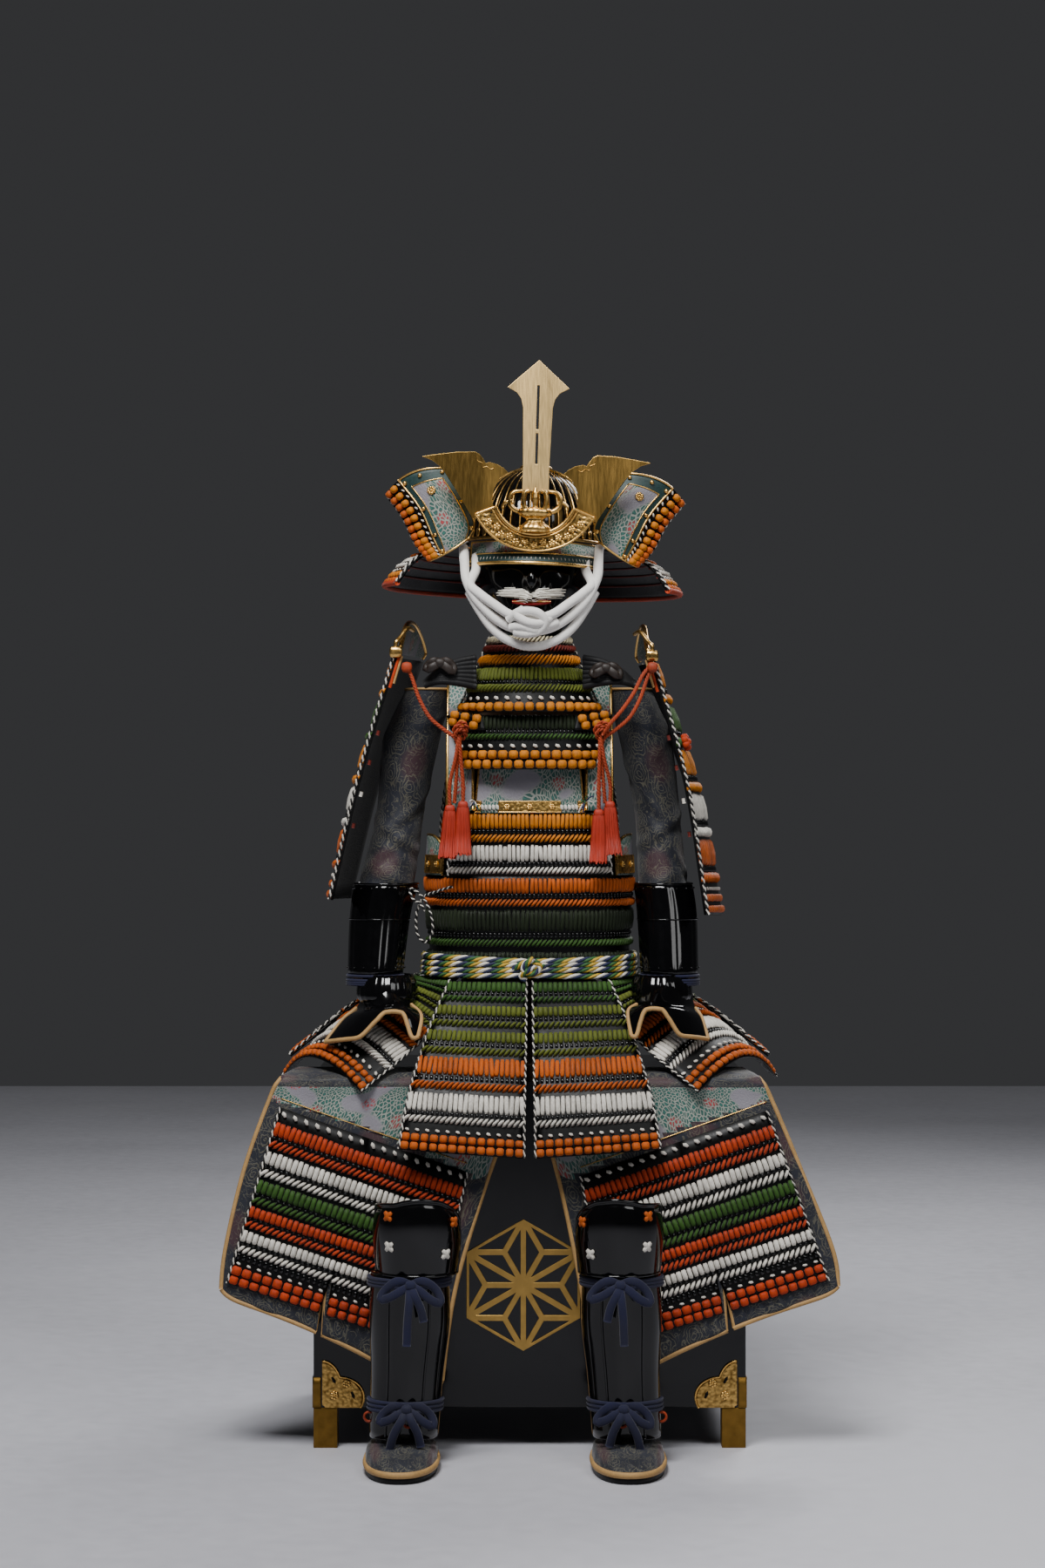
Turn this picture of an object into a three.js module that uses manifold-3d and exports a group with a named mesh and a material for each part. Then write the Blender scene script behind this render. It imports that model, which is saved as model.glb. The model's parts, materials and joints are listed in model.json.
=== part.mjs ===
// A suit of samurai armour seated on its lacquered armour chest.
// Millimetres, +Z up. The suit faces -Y, and the origin is on the floor under the middle of the suit.
// "Left" and "right" are those of a person who stands in front of the suit and looks at it.
//
// Every laced, sewn or lacquered piece is a thin wall on a surface P(u, v), with u across the piece,
// from left to right as seen from outside, and v from its top edge (0) to its bottom edge (1).

import * as THREE from 'three';
import { mergeVertices } from 'three/addons/utils/BufferGeometryUtils.js';
import Module from 'manifold-3d';

const wasm = await Module();
wasm.setup();

// Driving dimensions ---------------------------------------------------------

const totalDepth = 770;          // toes of the shoes to the back of the chest lid
const seam = 0.3;                // gap between neighbouring pieces
const laced = 6;                 // thickness of a laced plate row
const cloth = 3;                 // thickness of a backed cloth wall
const plate = 2.5;               // thickness of a lacquered iron plate
const leather = 4;               // thickness of a leather-faced plate

const chest = { width: 684, top: 567, bottom: 64, wall: 10 };
const chestLeg = 38;             // side of the square brass foot under each corner
const lid = { top: 580, depth: 72, overhang: 6 };
const emblem = { x: -10, z: 258, radius: 104, bar: 9, thickness: 3 };
const chestBack = totalDepth / 2 - lid.overhang;
const chestFront = -113;
const chestMiddle = (chestFront + chestBack) / 2;
const chestDepth = chestBack - chestFront;

const bodyY = 60;                // the wearer's axis, over the chest
const headY = 62;
const hardware = { horn: 1.6, sword: 2.5, crescent: 3, hilt: 16 };
const sword = { y: -101, tip: 1722, wing: 1678, neck: 1646, foot: 1514, halfWing: 49, halfNeck: 23.5, halfFoot: 21 };
const slot = { half: 2, top: 1682, bottom: 1557, bridgeTop: 1612, bridgeBottom: 1606 };

const chinCord = { diameter: 15, sides: 8, steps: 18 };
const shoulderCord = { diameter: 7, sides: 8, steps: 15 };

// Colours: [colour, roughness, metalness] --------------------------------------

const finish = {
  lacquer: ['#0a0a0c', 0.12, 0],
  brass: ['#b08c3c', 0.35, 1],
  wood: ['#3a2a1c', 0.6, 0],
  goldenLace: ['#c8861f', 0.8, 0],
  greenLace: ['#4f7a2d', 0.8, 0],
  orangeLace: ['#d9691c', 0.8, 0],
  redLace: ['#c8451c', 0.8, 0],
  printedLeather: ['#aeb9ae', 0.6, 0],
  brocade: ['#2a3350', 0.7, 0],
  whiteCord: ['#e6e2da', 0.9, 0],
  beltCord: ['#b7a65a', 0.9, 0],
};

const suit = new THREE.Group();

// The helmet sits a little to the right of the body's middle, and leans a little to that side.
const helmetPlace = { x: 7, pivot: 1440, lean: 0.03 };
const helmetLean = new THREE.Group();
helmetLean.position.set(helmetPlace.x, 0, helmetPlace.pivot);
helmetLean.rotation.y = helmetPlace.lean;
suit.add(helmetLean);
const helmet = new THREE.Group();
helmet.position.z = -helmetPlace.pivot;
helmetLean.add(helmet);
const face = new THREE.Group();
face.position.x = 3;
suit.add(face);

function addPiece(name, geometry, look, parent = suit) {
  const [color, roughness, metalness] = finish[look];
  const material = new THREE.MeshStandardMaterial({ color, roughness, metalness });
  const mesh = new THREE.Mesh(geometry, material);
  mesh.name = name;
  parent.add(mesh);
  return mesh;
}

// Tables to surfaces -----------------------------------------------------------

const radians = THREE.MathUtils.degToRad;

// One value of a column, smoothly between the rows (Catmull-Rom), at 0 to 1 down the table.
function smoothColumn(values, position) {
  const last = values.length - 1;
  const place = Math.min(Math.max(position, 0), 1) * last;
  const row = Math.min(Math.floor(place), last - 1);
  const t = place - row;
  const here = values[row];
  const next = values[row + 1];
  const before = row > 0 ? values[row - 1] : 2 * here - next;
  const after = row + 2 <= last ? values[row + 2] : 2 * next - here;
  const bend = (before - 2 * here + next) * (1 - t) + (here - 2 * next + after) * t;
  return here + (next - here) * t - 0.5 * t * (1 - t) * bend;
}

// A round piece: rows of { z, x, y, across, deep, from, to }. Each row is a superellipse about (x, y) with
// half sizes across and deep, run from one angle to another. Angle 0 is the front, 90 is +X.
function roundSurface(rows, power = 2) {
  const column = (name, v) => smoothColumn(rows.map((row) => row[name] ?? 0), v);
  return (u, v) => {
    const angle = radians(column('from', v) + (column('to', v) - column('from', v)) * u);
    const side = Math.sign(Math.sin(angle)) * Math.abs(Math.sin(angle)) ** (2 / power);
    const front = Math.sign(Math.cos(angle)) * Math.abs(Math.cos(angle)) ** (2 / power);
    const x = column('x', v) + column('across', v) * side;
    const y = column('y', v) - column('deep', v) * front;
    return new THREE.Vector3(x, y, column('z', v));
  };
}

// A sheet: rows of { start: [x, y, z], end: [x, y, z], bulge: [x, y, z] }, each a shallow arc from start to
// end that swells by bulge in its middle.
function sheetSurface(rows) {
  const column = (name, axis, v) => smoothColumn(rows.map((row) => row[name][axis]), v);
  return (u, v) => {
    const swell = 4 * u * (1 - u);
    const at = [0, 1, 2].map((axis) => {
      const start = column('start', axis, v);
      return start + (column('end', axis, v) - start) * u + column('bulge', axis, v) * swell;
    });
    return new THREE.Vector3(...at);
  };
}

// The same piece on the other side of the suit.
function mirrored(surface) {
  return (u, v) => surface(1 - u, v).multiply(new THREE.Vector3(-1, 1, 1));
}

// A sheet table gives the piece on the left, with x as the distance from the middle of the suit.
function sidePiece(rows, side) {
  const left = rows.map(({ start, end, bulge }) => ({
    start: [-start[0], start[1], start[2]],
    end: [-end[0], end[1], end[2]],
    bulge: [-bulge[0], bulge[1], bulge[2]],
  }));
  const surface = sheetSurface(left);
  return side === 'left' ? surface : mirrored(surface);
}

// Surfaces to walls ------------------------------------------------------------

function normalAt(surface, u, v) {
  const step = 1e-3;
  const across = surface(u + step, v).sub(surface(u - step, v));
  const down = surface(u, Math.min(v + step, 1)).sub(surface(u, Math.max(v - step, 0)));
  return down.cross(across).normalize();
}

// A closed wall: the surface and its copy set inwards by thickness, joined round the rim.
// columns and rows are the grid's cells; around joins the last column to the first; level sets the copy
// in without raising or lowering it.
function wall(surface, { thickness, columns, rows, around = false, level = false }) {
  const stride = around ? columns : columns + 1;
  const places = [];
  const layer = stride * (rows + 1);
  for (const depth of [0, thickness]) {
    for (let j = 0; j <= rows; j += 1) {
      for (let i = 0; i < stride; i += 1) {
        const u = i / columns;
        const v = j / rows;
        const normal = normalAt(surface, u, v);
        if (level) normal.setZ(0).normalize();
        const point = surface(u, v).addScaledVector(normal, -depth);
        places.push(point.x, point.y, point.z);
      }
    }
  }
  const outer = (i, j) => j * stride + (i % stride);
  const inner = (i, j) => layer + outer(i, j);
  const faces = [];
  const quad = (a, b, c, d) => faces.push(a, b, c, a, c, d);
  for (let j = 0; j < rows; j += 1) {
    for (let i = 0; i < columns; i += 1) {
      quad(outer(i, j), outer(i, j + 1), outer(i + 1, j + 1), outer(i + 1, j));
      quad(inner(i + 1, j), inner(i + 1, j + 1), inner(i, j + 1), inner(i, j));
    }
  }
  for (let i = 0; i < columns; i += 1) {
    quad(outer(i, 0), outer(i + 1, 0), inner(i + 1, 0), inner(i, 0));
    quad(outer(i + 1, rows), outer(i, rows), inner(i, rows), inner(i + 1, rows));
  }
  for (let j = 0; j < rows && !around; j += 1) {
    quad(outer(0, j + 1), outer(0, j), inner(0, j), inner(0, j + 1));
    quad(outer(columns, j), outer(columns, j + 1), inner(columns, j + 1), inner(columns, j));
  }
  return indexed(places, faces);
}

function indexed(places, faces) {
  const geometry = new THREE.BufferGeometry();
  geometry.setAttribute('position', new THREE.Float32BufferAttribute(places, 3));
  geometry.setIndex(faces);
  return geometry;
}

// A closed solid through round sections, capped at both ends.
function roundSolid(rows, { columns, steps, power = 2 }) {
  const full = rows.map((row) => ({ ...row, from: 0, to: 360 }));
  const surface = roundSurface(full, power);
  const places = [];
  for (let j = 0; j <= steps; j += 1) {
    for (let i = 0; i < columns; i += 1) {
      places.push(...surface(i / columns, j / steps).toArray());
    }
  }
  const faces = [];
  const at = (i, j) => j * columns + (i % columns);
  for (let j = 0; j < steps; j += 1) {
    for (let i = 0; i < columns; i += 1) {
      faces.push(at(i, j), at(i, j + 1), at(i + 1, j + 1), at(i, j), at(i + 1, j + 1), at(i + 1, j));
    }
  }
  for (let i = 1; i < columns - 1; i += 1) {
    faces.push(at(0, 0), at(i, 0), at(i + 1, 0));
    faces.push(at(0, steps), at(i + 1, steps), at(i, steps));
  }
  return indexed(places, faces);
}

// Cutting and joining ----------------------------------------------------------

function toSolid(geometry) {
  const bare = geometry.clone();
  bare.deleteAttribute('normal');
  bare.deleteAttribute('uv');
  const merged = mergeVertices(bare, 1e-4);
  const vertProperties = new Float32Array(merged.attributes.position.array);
  const triVerts = new Uint32Array(merged.index.array);
  return new wasm.Manifold(new wasm.Mesh({ numProp: 3, vertProperties, triVerts }));
}

function fromSolid(solid) {
  const mesh = solid.getMesh();
  return indexed(Array.from(mesh.vertProperties), Array.from(mesh.triVerts));
}

function joined(...geometries) {
  return fromSolid(geometries.map(toSolid).reduce((sum, next) => sum.add(next)));
}

function cut(geometry, ...tools) {
  return fromSolid(tools.map(toSolid).reduce((rest, tool) => rest.subtract(tool), toSolid(geometry)));
}

// Plain shapes -------------------------------------------------------------------

function box(width, depth, height, x, y, bottom) {
  return new THREE.BoxGeometry(width, depth, height).translate(x, y, bottom + height / 2);
}

// An outline in x and z, given a thickness along y, its front face at frontY.
function uprightPlate(shape, thickness, frontY) {
  const geometry = new THREE.ExtrudeGeometry(shape, { depth: thickness, bevelEnabled: false, curveSegments: 8 });
  return geometry.rotateX(Math.PI / 2).translate(0, frontY + thickness, 0);
}

function outline(points) {
  return new THREE.Shape(points.map(([x, z]) => new THREE.Vector2(x, z)));
}

function tube(points, { diameter, sides, steps }) {
  const route = new THREE.CatmullRomCurve3(points.map((point) => new THREE.Vector3(...point)));
  const section = new THREE.Shape();
  for (let i = 0; i < sides; i += 1) {
    const angle = (2 * Math.PI * i) / sides;
    const x = (diameter / 2) * Math.cos(angle);
    const y = (diameter / 2) * Math.sin(angle);
    if (i === 0) section.moveTo(x, y);
    else section.lineTo(x, y);
  }
  return new THREE.ExtrudeGeometry(section, { steps, extrudePath: route, bevelEnabled: false });
}

function mirrorPoints(points) {
  return points.map(([x, y, z]) => [-x, y, z]);
}

const bothSides = ['left', 'right'];
const signOf = { left: -1, right: 1 };

// The armour chest -----------------------------------------------------------------

function addChest() {
  const outside = box(chest.width, chestDepth, chest.top - chest.bottom, 0, chestMiddle, chest.bottom);
  const inside = box(
    chest.width - 2 * chest.wall,
    chestDepth - 2 * chest.wall,
    chest.top - chest.bottom,
    0,
    chestMiddle,
    chest.bottom + chest.wall,
  );
  addPiece('chest_body', cut(outside, inside), 'lacquer');

  const lidWidth = chest.width + 2 * lid.overhang;
  const lidDepth = chestDepth + 2 * lid.overhang;
  const cap = box(lidWidth, lidDepth, lid.depth, 0, chestMiddle, lid.top - lid.depth);
  const hollowWidth = chest.width + 2 * seam;
  const hollowDepth = chestDepth + 2 * seam;
  const hollow = box(hollowWidth, hollowDepth, lid.depth, 0, chestMiddle, chest.top + seam - lid.depth);
  addPiece('chest_lid', cut(cap, hollow), 'lacquer');
}

function addChestLegs() {
  for (const side of bothSides) {
    const x = (signOf[side] * (chest.width - chestLeg)) / 2;
    for (const [end, y] of [['front', chestFront + chestLeg / 2], ['back', chestBack - chestLeg / 2]]) {
      const leg = box(chestLeg, chestLeg, chest.bottom - seam, x, y, 0);
      addPiece(`chest_leg_${end}_${side}`, leg, 'brass');
    }
  }
}

// A hemp-leaf star in a hexagon: each of six sectors is split in three from its middle, and the
// eighteen triangles are pierced, which leaves the bars.
function addEmblem() {
  const corner = (k) => {
    const angle = radians(60 * k + 30);
    return new THREE.Vector2(Math.cos(angle), Math.sin(angle)).multiplyScalar(emblem.radius);
  };
  const centre = new THREE.Vector2(0, 0);
  const shape = new THREE.Shape([0, 1, 2, 3, 4, 5].map(corner));
  for (let k = 0; k < 6; k += 1) {
    const sector = [centre, corner(k), corner(k + 1)];
    const middle = sector[0].clone().add(sector[1]).add(sector[2]).divideScalar(3);
    for (let side = 0; side < 3; side += 1) {
      const triangle = [sector[side], sector[(side + 1) % 3], middle];
      shape.holes.push(new THREE.Path(insetTriangle(triangle, emblem.bar / 2)));
    }
  }
  const geometry = uprightPlate(shape, emblem.thickness, chestFront - seam - emblem.thickness);
  geometry.translate(emblem.x, 0, emblem.z);
  addPiece('chest_emblem', geometry, 'brass');
}

// The triangle whose sides lie a given distance inside those of another.
function insetTriangle(corners, distance) {
  const [a, b, c] = corners;
  const sides = [b.distanceTo(c), c.distanceTo(a), a.distanceTo(b)];
  const around = sides[0] + sides[1] + sides[2];
  const area = Math.abs((b.x - a.x) * (c.y - a.y) - (c.x - a.x) * (b.y - a.y)) / 2;
  const inradius = (2 * area) / around;
  const heart = new THREE.Vector2();
  corners.forEach((corner, k) => heart.addScaledVector(corner, sides[k] / around));
  const scale = 1 - distance / inradius;
  return corners.map((corner) => heart.clone().lerp(corner, scale));
}

// The hidden stand: a board on the lid, a post, a shoulder bar and a domed head.
function addStand() {
  const foot = box(220, 180, 18, 0, bodyY, lid.top + seam);
  const post = box(44, 44, 700, 0, bodyY, lid.top + 10);
  const bar = box(250, 36, 40, 0, bodyY, 1150);
  const domeProfile = [
    [0, 1270],
    [30, 1270],
    [58, 1430],
    [60, 1470],
    [48, 1505],
    [24, 1522],
    [0, 1526],
  ];
  const dome = new THREE.LatheGeometry(domeProfile.map(([r, z]) => new THREE.Vector2(r, z)), 20);
  dome.rotateX(Math.PI / 2);
  dome.translate(0, bodyY, 0);
  addPiece('stand', joined(foot, post, bar, dome), 'wood');
}

// The cuirass ----------------------------------------------------------------------

const torsoPower = 2.5;
const torso = [
  { z: 1190, across: 138, deep: 105 },
  { z: 1078, across: 152, deep: 120 },
  { z: 1003, across: 165, deep: 128 },
  { z: 904, across: 171, deep: 130 },
  { z: 780, across: 165, deep: 120 },
  { z: 744, across: 167, deep: 119 },
];

// The torso's own section at a height, straight between the table's rows.
function torsoAt(z) {
  const below = torso.filter((row) => row.z > z).length;
  const row = Math.min(Math.max(below, 1), torso.length - 1);
  const low = torso[row];
  const high = torso[row - 1];
  const t = (z - low.z) / (high.z - low.z);
  return {
    across: low.across + (high.across - low.across) * t,
    deep: low.deep + (high.deep - low.deep) * t,
  };
}

function torsoPanel(heights, from, to, outset = 0) {
  const rows = heights.map((z) => {
    const { across, deep } = torsoAt(z);
    return { z, x: 0, y: bodyY, across: across + outset, deep: deep + outset, from, to };
  });
  return roundSurface(rows, torsoPower);
}

function torsoWall(surface, thickness, columns, rows, around = false) {
  return wall(surface, { thickness, columns, rows, around, level: true });
}

function addCuirass() {
  const wrap = torsoPanel([903, 850, 780, 744], -180, 180);
  addPiece('cuirass_wrap', torsoWall(wrap, laced, 32, 3, true), 'greenLace');
  const front = torsoPanel([1003, 953, 903 + seam], -46, 46);
  addPiece('cuirass_front', torsoWall(front, laced, 12, 2), 'goldenLace');
  const back = torsoPanel([1190, 1100, 1003, 903 + seam], 122, 238);
  addPiece('cuirass_back', torsoWall(back, laced, 12, 4), 'goldenLace');
  const breast = torsoPanel([1080, 1042, 1003 + seam], -27, 27);
  addPiece('chest_plate', torsoWall(breast, leather, 8, 2), 'printedLeather');
  for (const side of bothSides) {
    const [from, to] = side === 'left' ? [-112, -52] : [52, 112];
    const under = torsoPanel([968, 936, 903 + seam], from, to);
    addPiece(`side_plate_${side}`, torsoWall(under, leather, 6, 2), 'printedLeather');
  }
}

// A shoulder strap runs up from the chest, over the shoulder and down to the back plate.
const strapRows = [
  { y: -60, z: 1008 },
  { y: -44, z: 1090 },
  { y: -10, z: 1160 },
  { y: 26, z: 1212 },
  { y: 72, z: 1236 },
  { y: 124, z: 1228 },
  { y: 158, z: 1196 },
];
const strapWidth = { inner: 91, outer: 132 };

function addShoulderStraps() {
  const upwards = [...strapRows].reverse();
  const rows = upwards.map(({ y, z }) => ({
    start: [strapWidth.outer, y, z - 3],
    end: [strapWidth.inner, y, z],
    bulge: [0, 0, 0],
  }));
  for (const side of bothSides) {
    const surface = sidePiece(rows, side);
    const strap = wall(surface, { thickness: leather, columns: 1, rows: 12 });
    addPiece(`shoulder_strap_${side}`, strap, 'printedLeather');
  }
}

function addBelt() {
  const band = torsoPanel([776, 757, 737.8], -180, 180, 12);
  addPiece('belt', torsoWall(band, 11, 32, 1, true), 'beltCord');
}

// Throat guard and gorget ----------------------------------------------------------

const throatRows = [
  { z: 1288, y: 8, across: 64, deep: 73, from: -80, to: 80 },
  { z: 1222, y: 8, across: 93, deep: 88, from: -77, to: 77 },
  { z: 1166, y: 8, across: 121, deep: 106, from: -72, to: 72 },
];
const gorgetRows = [
  { z: 1160, y: 20, across: 150, deep: 98, from: -60, to: 60 },
  { z: 1118, y: 20, across: 148, deep: 108, from: -53, to: 53 },
  { z: 1074, y: 20, across: 145, deep: 116, from: -45, to: 45 },
];

function addThroat() {
  const throat = roundSurface(throatRows);
  addPiece('throat_guard', wall(throat, { thickness: laced - 1, columns: 14, rows: 3 }), 'greenLace');
  const gorget = roundSurface(gorgetRows);
  addPiece('gorget', wall(gorget, { thickness: laced - 1, columns: 12, rows: 3 }), 'goldenLace');
}

// The helmet -----------------------------------------------------------------------

const bowlRows = [
  { z: 1566, y: headY + 6, across: 18, deep: 20 },
  { z: 1556, y: headY + 4, across: 44, deep: 52 },
  { z: 1532, y: headY + 2, across: 80, deep: 96 },
  { z: 1492, y: headY, across: 104, deep: 124 },
  { z: 1440, y: headY, across: 112, deep: 132 },
];
const visorRows = [
  { z: 1437, y: headY, across: 113, deep: 134, from: -62, to: 62 },
  { z: 1422, y: headY, across: 115, deep: 156, from: -61, to: 61 },
  { z: 1400, y: headY, across: 117, deep: 172, from: -60, to: 60 },
];
const neckRows = [
  { z: 1437, y: headY, across: 115, deep: 135, from: 66, to: 294 },
  { z: 1427, y: headY, across: 168, deep: 178, from: 65, to: 295 },
  { z: 1404, y: headY, across: 214, deep: 213, from: 64, to: 296 },
  { z: 1368, y: headY, across: 243, deep: 234, from: 64, to: 296 },
];
const turnbackRows = [
  { start: [241, -6, 1511], end: [149, -46, 1552], bulge: [8, -14, 10] },
  { start: [212, -22, 1473], end: [120, -52, 1508], bulge: [0, -18, 4] },
  { start: [190, -36, 1430], end: [97, -54, 1466], bulge: [0, -16, 0] },
  { start: [165, -46, 1403], end: [104, -52, 1441], bulge: [0, -10, -4] },
];

function addHelmet() {
  const fullTurn = bowlRows.map((row) => ({ ...row, from: -180, to: 180 }));
  const bowl = wall(roundSurface(fullTurn), { thickness: cloth, columns: 24, rows: 6, around: true });
  addPiece('helmet_bowl', bowl, 'lacquer', helmet);
  const visor = wall(roundSurface(visorRows), { thickness: cloth, columns: 14, rows: 2 });
  addPiece('helmet_visor', visor, 'printedLeather', helmet);
  const neck = wall(roundSurface(neckRows), { thickness: laced - 1, columns: 24, rows: 3 });
  addPiece('neck_guard', neck, 'goldenLace', helmet);
  for (const side of bothSides) {
    const turnback = wall(sidePiece(turnbackRows, side), { thickness: laced - 1, columns: 6, rows: 6 });
    addPiece(`turnback_${side}`, turnback, 'printedLeather', helmet);
  }
}

// The crest: a pierced crescent, two horns, and a broad sword in a pronged hilt.
const hornOutline = [
  [66, 1484],
  [68, 1500],
  [66, 1516],
  [57, 1534],
  [44, 1543],
  [52, 1550],
  [62, 1555.5],
  [74, 1558.5],
  [80, 1556.5],
  [84, 1563],
  [90, 1570.5],
  [97, 1574],
  [126, 1573],
  [154, 1569],
  [182, 1564.5],
  [166, 1559],
  [152, 1549],
  [139, 1533],
  [120, 1503],
  [98, 1468],
];

function addCrest() {
  const { tip, wing, neck, foot, halfWing, halfNeck, halfFoot } = sword;
  const blade = outline([
    [0, tip],
    [-halfWing, wing],
    [-halfNeck * 1.45, wing - 8],
    [-halfNeck * 1.14, wing - 18],
    [-halfNeck, neck],
    [-halfFoot, neck - 90],
    [-halfFoot, foot],
    [halfFoot, foot],
    [halfFoot, neck - 90],
    [halfNeck, neck],
    [halfNeck * 1.14, wing - 18],
    [halfNeck * 1.45, wing - 8],
    [halfWing, wing],
  ]);
  const spans = [[slot.bottom, slot.bridgeBottom], [slot.bridgeTop, slot.top]];
  for (const [low, high] of spans) {
    blade.holes.push(new THREE.Path([
      new THREE.Vector2(-slot.half, low),
      new THREE.Vector2(slot.half, low),
      new THREE.Vector2(slot.half, high),
      new THREE.Vector2(-slot.half, high),
    ]));
  }
  addPiece('crest_sword', uprightPlate(blade, hardware.sword, sword.y), 'brass', helmet);

  for (const side of bothSides) {
    const points = hornOutline.map(([x, z]) => [signOf[side] * x, z]);
    const horn = outline(points);
    addPiece(`horn_${side}`, uprightPlate(horn, hardware.horn, sword.y + 4), 'brass', helmet);
  }

  const crescent = new THREE.Shape();
  crescent.moveTo(-94, 1474);
  crescent.quadraticCurveTo(-62, 1419, 0, 1419);
  crescent.quadraticCurveTo(62, 1419, 94, 1474);
  crescent.lineTo(62, 1487);
  crescent.quadraticCurveTo(44, 1446, 0, 1446);
  crescent.quadraticCurveTo(-44, 1446, -62, 1487);
  crescent.closePath();
  addPiece('crest_base', uprightPlate(crescent, hardware.crescent, sword.y - 7), 'brass', helmet);

  const hilt = outline([
    [-21, 1449],
    [21, 1449],
    [23, 1458],
    [13, 1466],
    [13, 1472],
    [34, 1478],
    [43, 1492],
    [40, 1506],
    [30, 1513],
    [-30, 1513],
    [-40, 1506],
    [-43, 1492],
    [-34, 1478],
    [-13, 1472],
    [-13, 1466],
    [-23, 1458],
  ]);
  addPiece('crest_hilt', uprightPlate(hilt, hardware.hilt, sword.y - 7.6 - hardware.hilt), 'brass', helmet);
}

// The face mask: a smooth shell with a plain nose and chin --------------------------

const maskRows = [
  { z: 1412, y: 2, across: 84, deep: 82, from: -86, to: 86 },
  { z: 1376, y: 2, across: 84, deep: 86, from: -86, to: 86 },
  { z: 1340, y: 2, across: 78, deep: 84, from: -84, to: 84 },
  { z: 1308, y: 2, across: 62, deep: 74, from: -80, to: 80 },
  { z: 1284, y: 2, across: 44, deep: 56, from: -76, to: 76 },
];
const nose = { z: 1368, reach: 17, halfWidth: 13, halfHeight: 22 };

function addMask() {
  const plain = roundSurface(maskRows);
  const withNose = (u, v) => {
    const point = plain(u, v);
    const across = point.x / nose.halfWidth;
    const up = (point.z - nose.z) / nose.halfHeight;
    point.y -= nose.reach * Math.exp(-(across * across) - up * up);
    return point;
  };
  addPiece('face_mask', wall(withNose, { thickness: cloth, columns: 16, rows: 8 }), 'lacquer', face);
}

// The skirt panels -------------------------------------------------------------------

const frontSkirtRows = [
  { start: [128, -56, 736], end: [5, -72, 736], bulge: [0, -4, 0] },
  { start: [162, -98, 655], end: [6, -106, 649], bulge: [0, -5, 0] },
  { start: [190, -158, 562], end: [8, -164, 553], bulge: [0, -6, 0] },
  { start: [204, -190, 482], end: [9, -194, 468], bulge: [0, -6, 0] },
];
const sideSkirtRows = [
  { start: [186, 112, 736], end: [126, -44, 736], bulge: [12, -6, 0] },
  { start: [292, 96, 676], end: [166, -84, 650], bulge: [12, -12, 30] },
  { start: [404, 46, 574], end: [264, -158, 568], bulge: [10, -12, 46] },
];
const backSideSkirtRows = [
  { start: [112, 188, 736], end: [184, 122, 736], bulge: [8, 8, 0] },
  { start: [176, 262, 668], end: [290, 132, 688], bulge: [8, 8, 12] },
  { start: [262, 330, 600], end: [396, 108, 604], bulge: [8, 8, 26] },
];
const backSkirtRows = [
  { start: [-104, 189, 736], end: [104, 189, 736], bulge: [0, 6, 0] },
  { start: [-140, 268, 664], end: [140, 268, 664], bulge: [0, 6, 6] },
  { start: [-172, 368, 594], end: [172, 368, 594], bulge: [0, 4, 10] },
];

function addSkirts() {
  const grid = { thickness: laced, columns: 6, rows: 5 };
  for (const side of bothSides) {
    addPiece(`front_skirt_${side}`, wall(sidePiece(frontSkirtRows, side), grid), 'orangeLace');
    addPiece(`side_skirt_${side}`, wall(sidePiece(sideSkirtRows, side), grid), 'orangeLace');
    addPiece(`back_skirt_${side}`, wall(sidePiece(backSideSkirtRows, side), grid), 'orangeLace');
  }
  addPiece('back_skirt_middle', wall(sidePiece(backSkirtRows, 'left'), grid), 'orangeLace');
}

// The arms ---------------------------------------------------------------------------

// Rows down one arm; x is the distance from the middle of the suit.
const sleeveRows = {
  left: [
    { z: 1206, x: 163, y: 64, across: 39, deep: 56 },
    { z: 1120, x: 193, y: 62, across: 46, deep: 54 },
    { z: 1003, x: 211, y: 58, across: 39, deep: 50 },
    { z: 905, x: 229, y: 44, across: 44, deep: 46 },
    { z: 840, x: 242, y: 22, across: 41, deep: 38 },
    { z: 738, x: 249, y: -14, across: 36, deep: 34 },
  ],
  right: [
    { z: 1206, x: 162, y: 64, across: 37, deep: 56 },
    { z: 1120, x: 190, y: 62, across: 42, deep: 54 },
    { z: 1003, x: 209, y: 58, across: 37, deep: 50 },
    { z: 905, x: 216, y: 46, across: 39, deep: 46 },
    { z: 840, x: 223, y: 22, across: 40, deep: 38 },
    { z: 738, x: 226, y: -14, across: 38, deep: 34 },
  ],
};
const forearmTop = 888;
const forearmBottom = 742;

// The arm's own section at a height, found by halving along its smooth table.
function armAt(side, z) {
  const rows = sleeveRows[side];
  const value = (name, v) => smoothColumn(rows.map((row) => row[name]), v);
  let above = 0;
  let below = 1;
  for (let halving = 0; halving < 24; halving += 1) {
    const middle = (above + below) / 2;
    if (value('z', middle) > z) above = middle;
    else below = middle;
  }
  return { z, x: value('x', above), y: value('y', above), across: value('across', above), deep: value('deep', above) };
}

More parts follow.
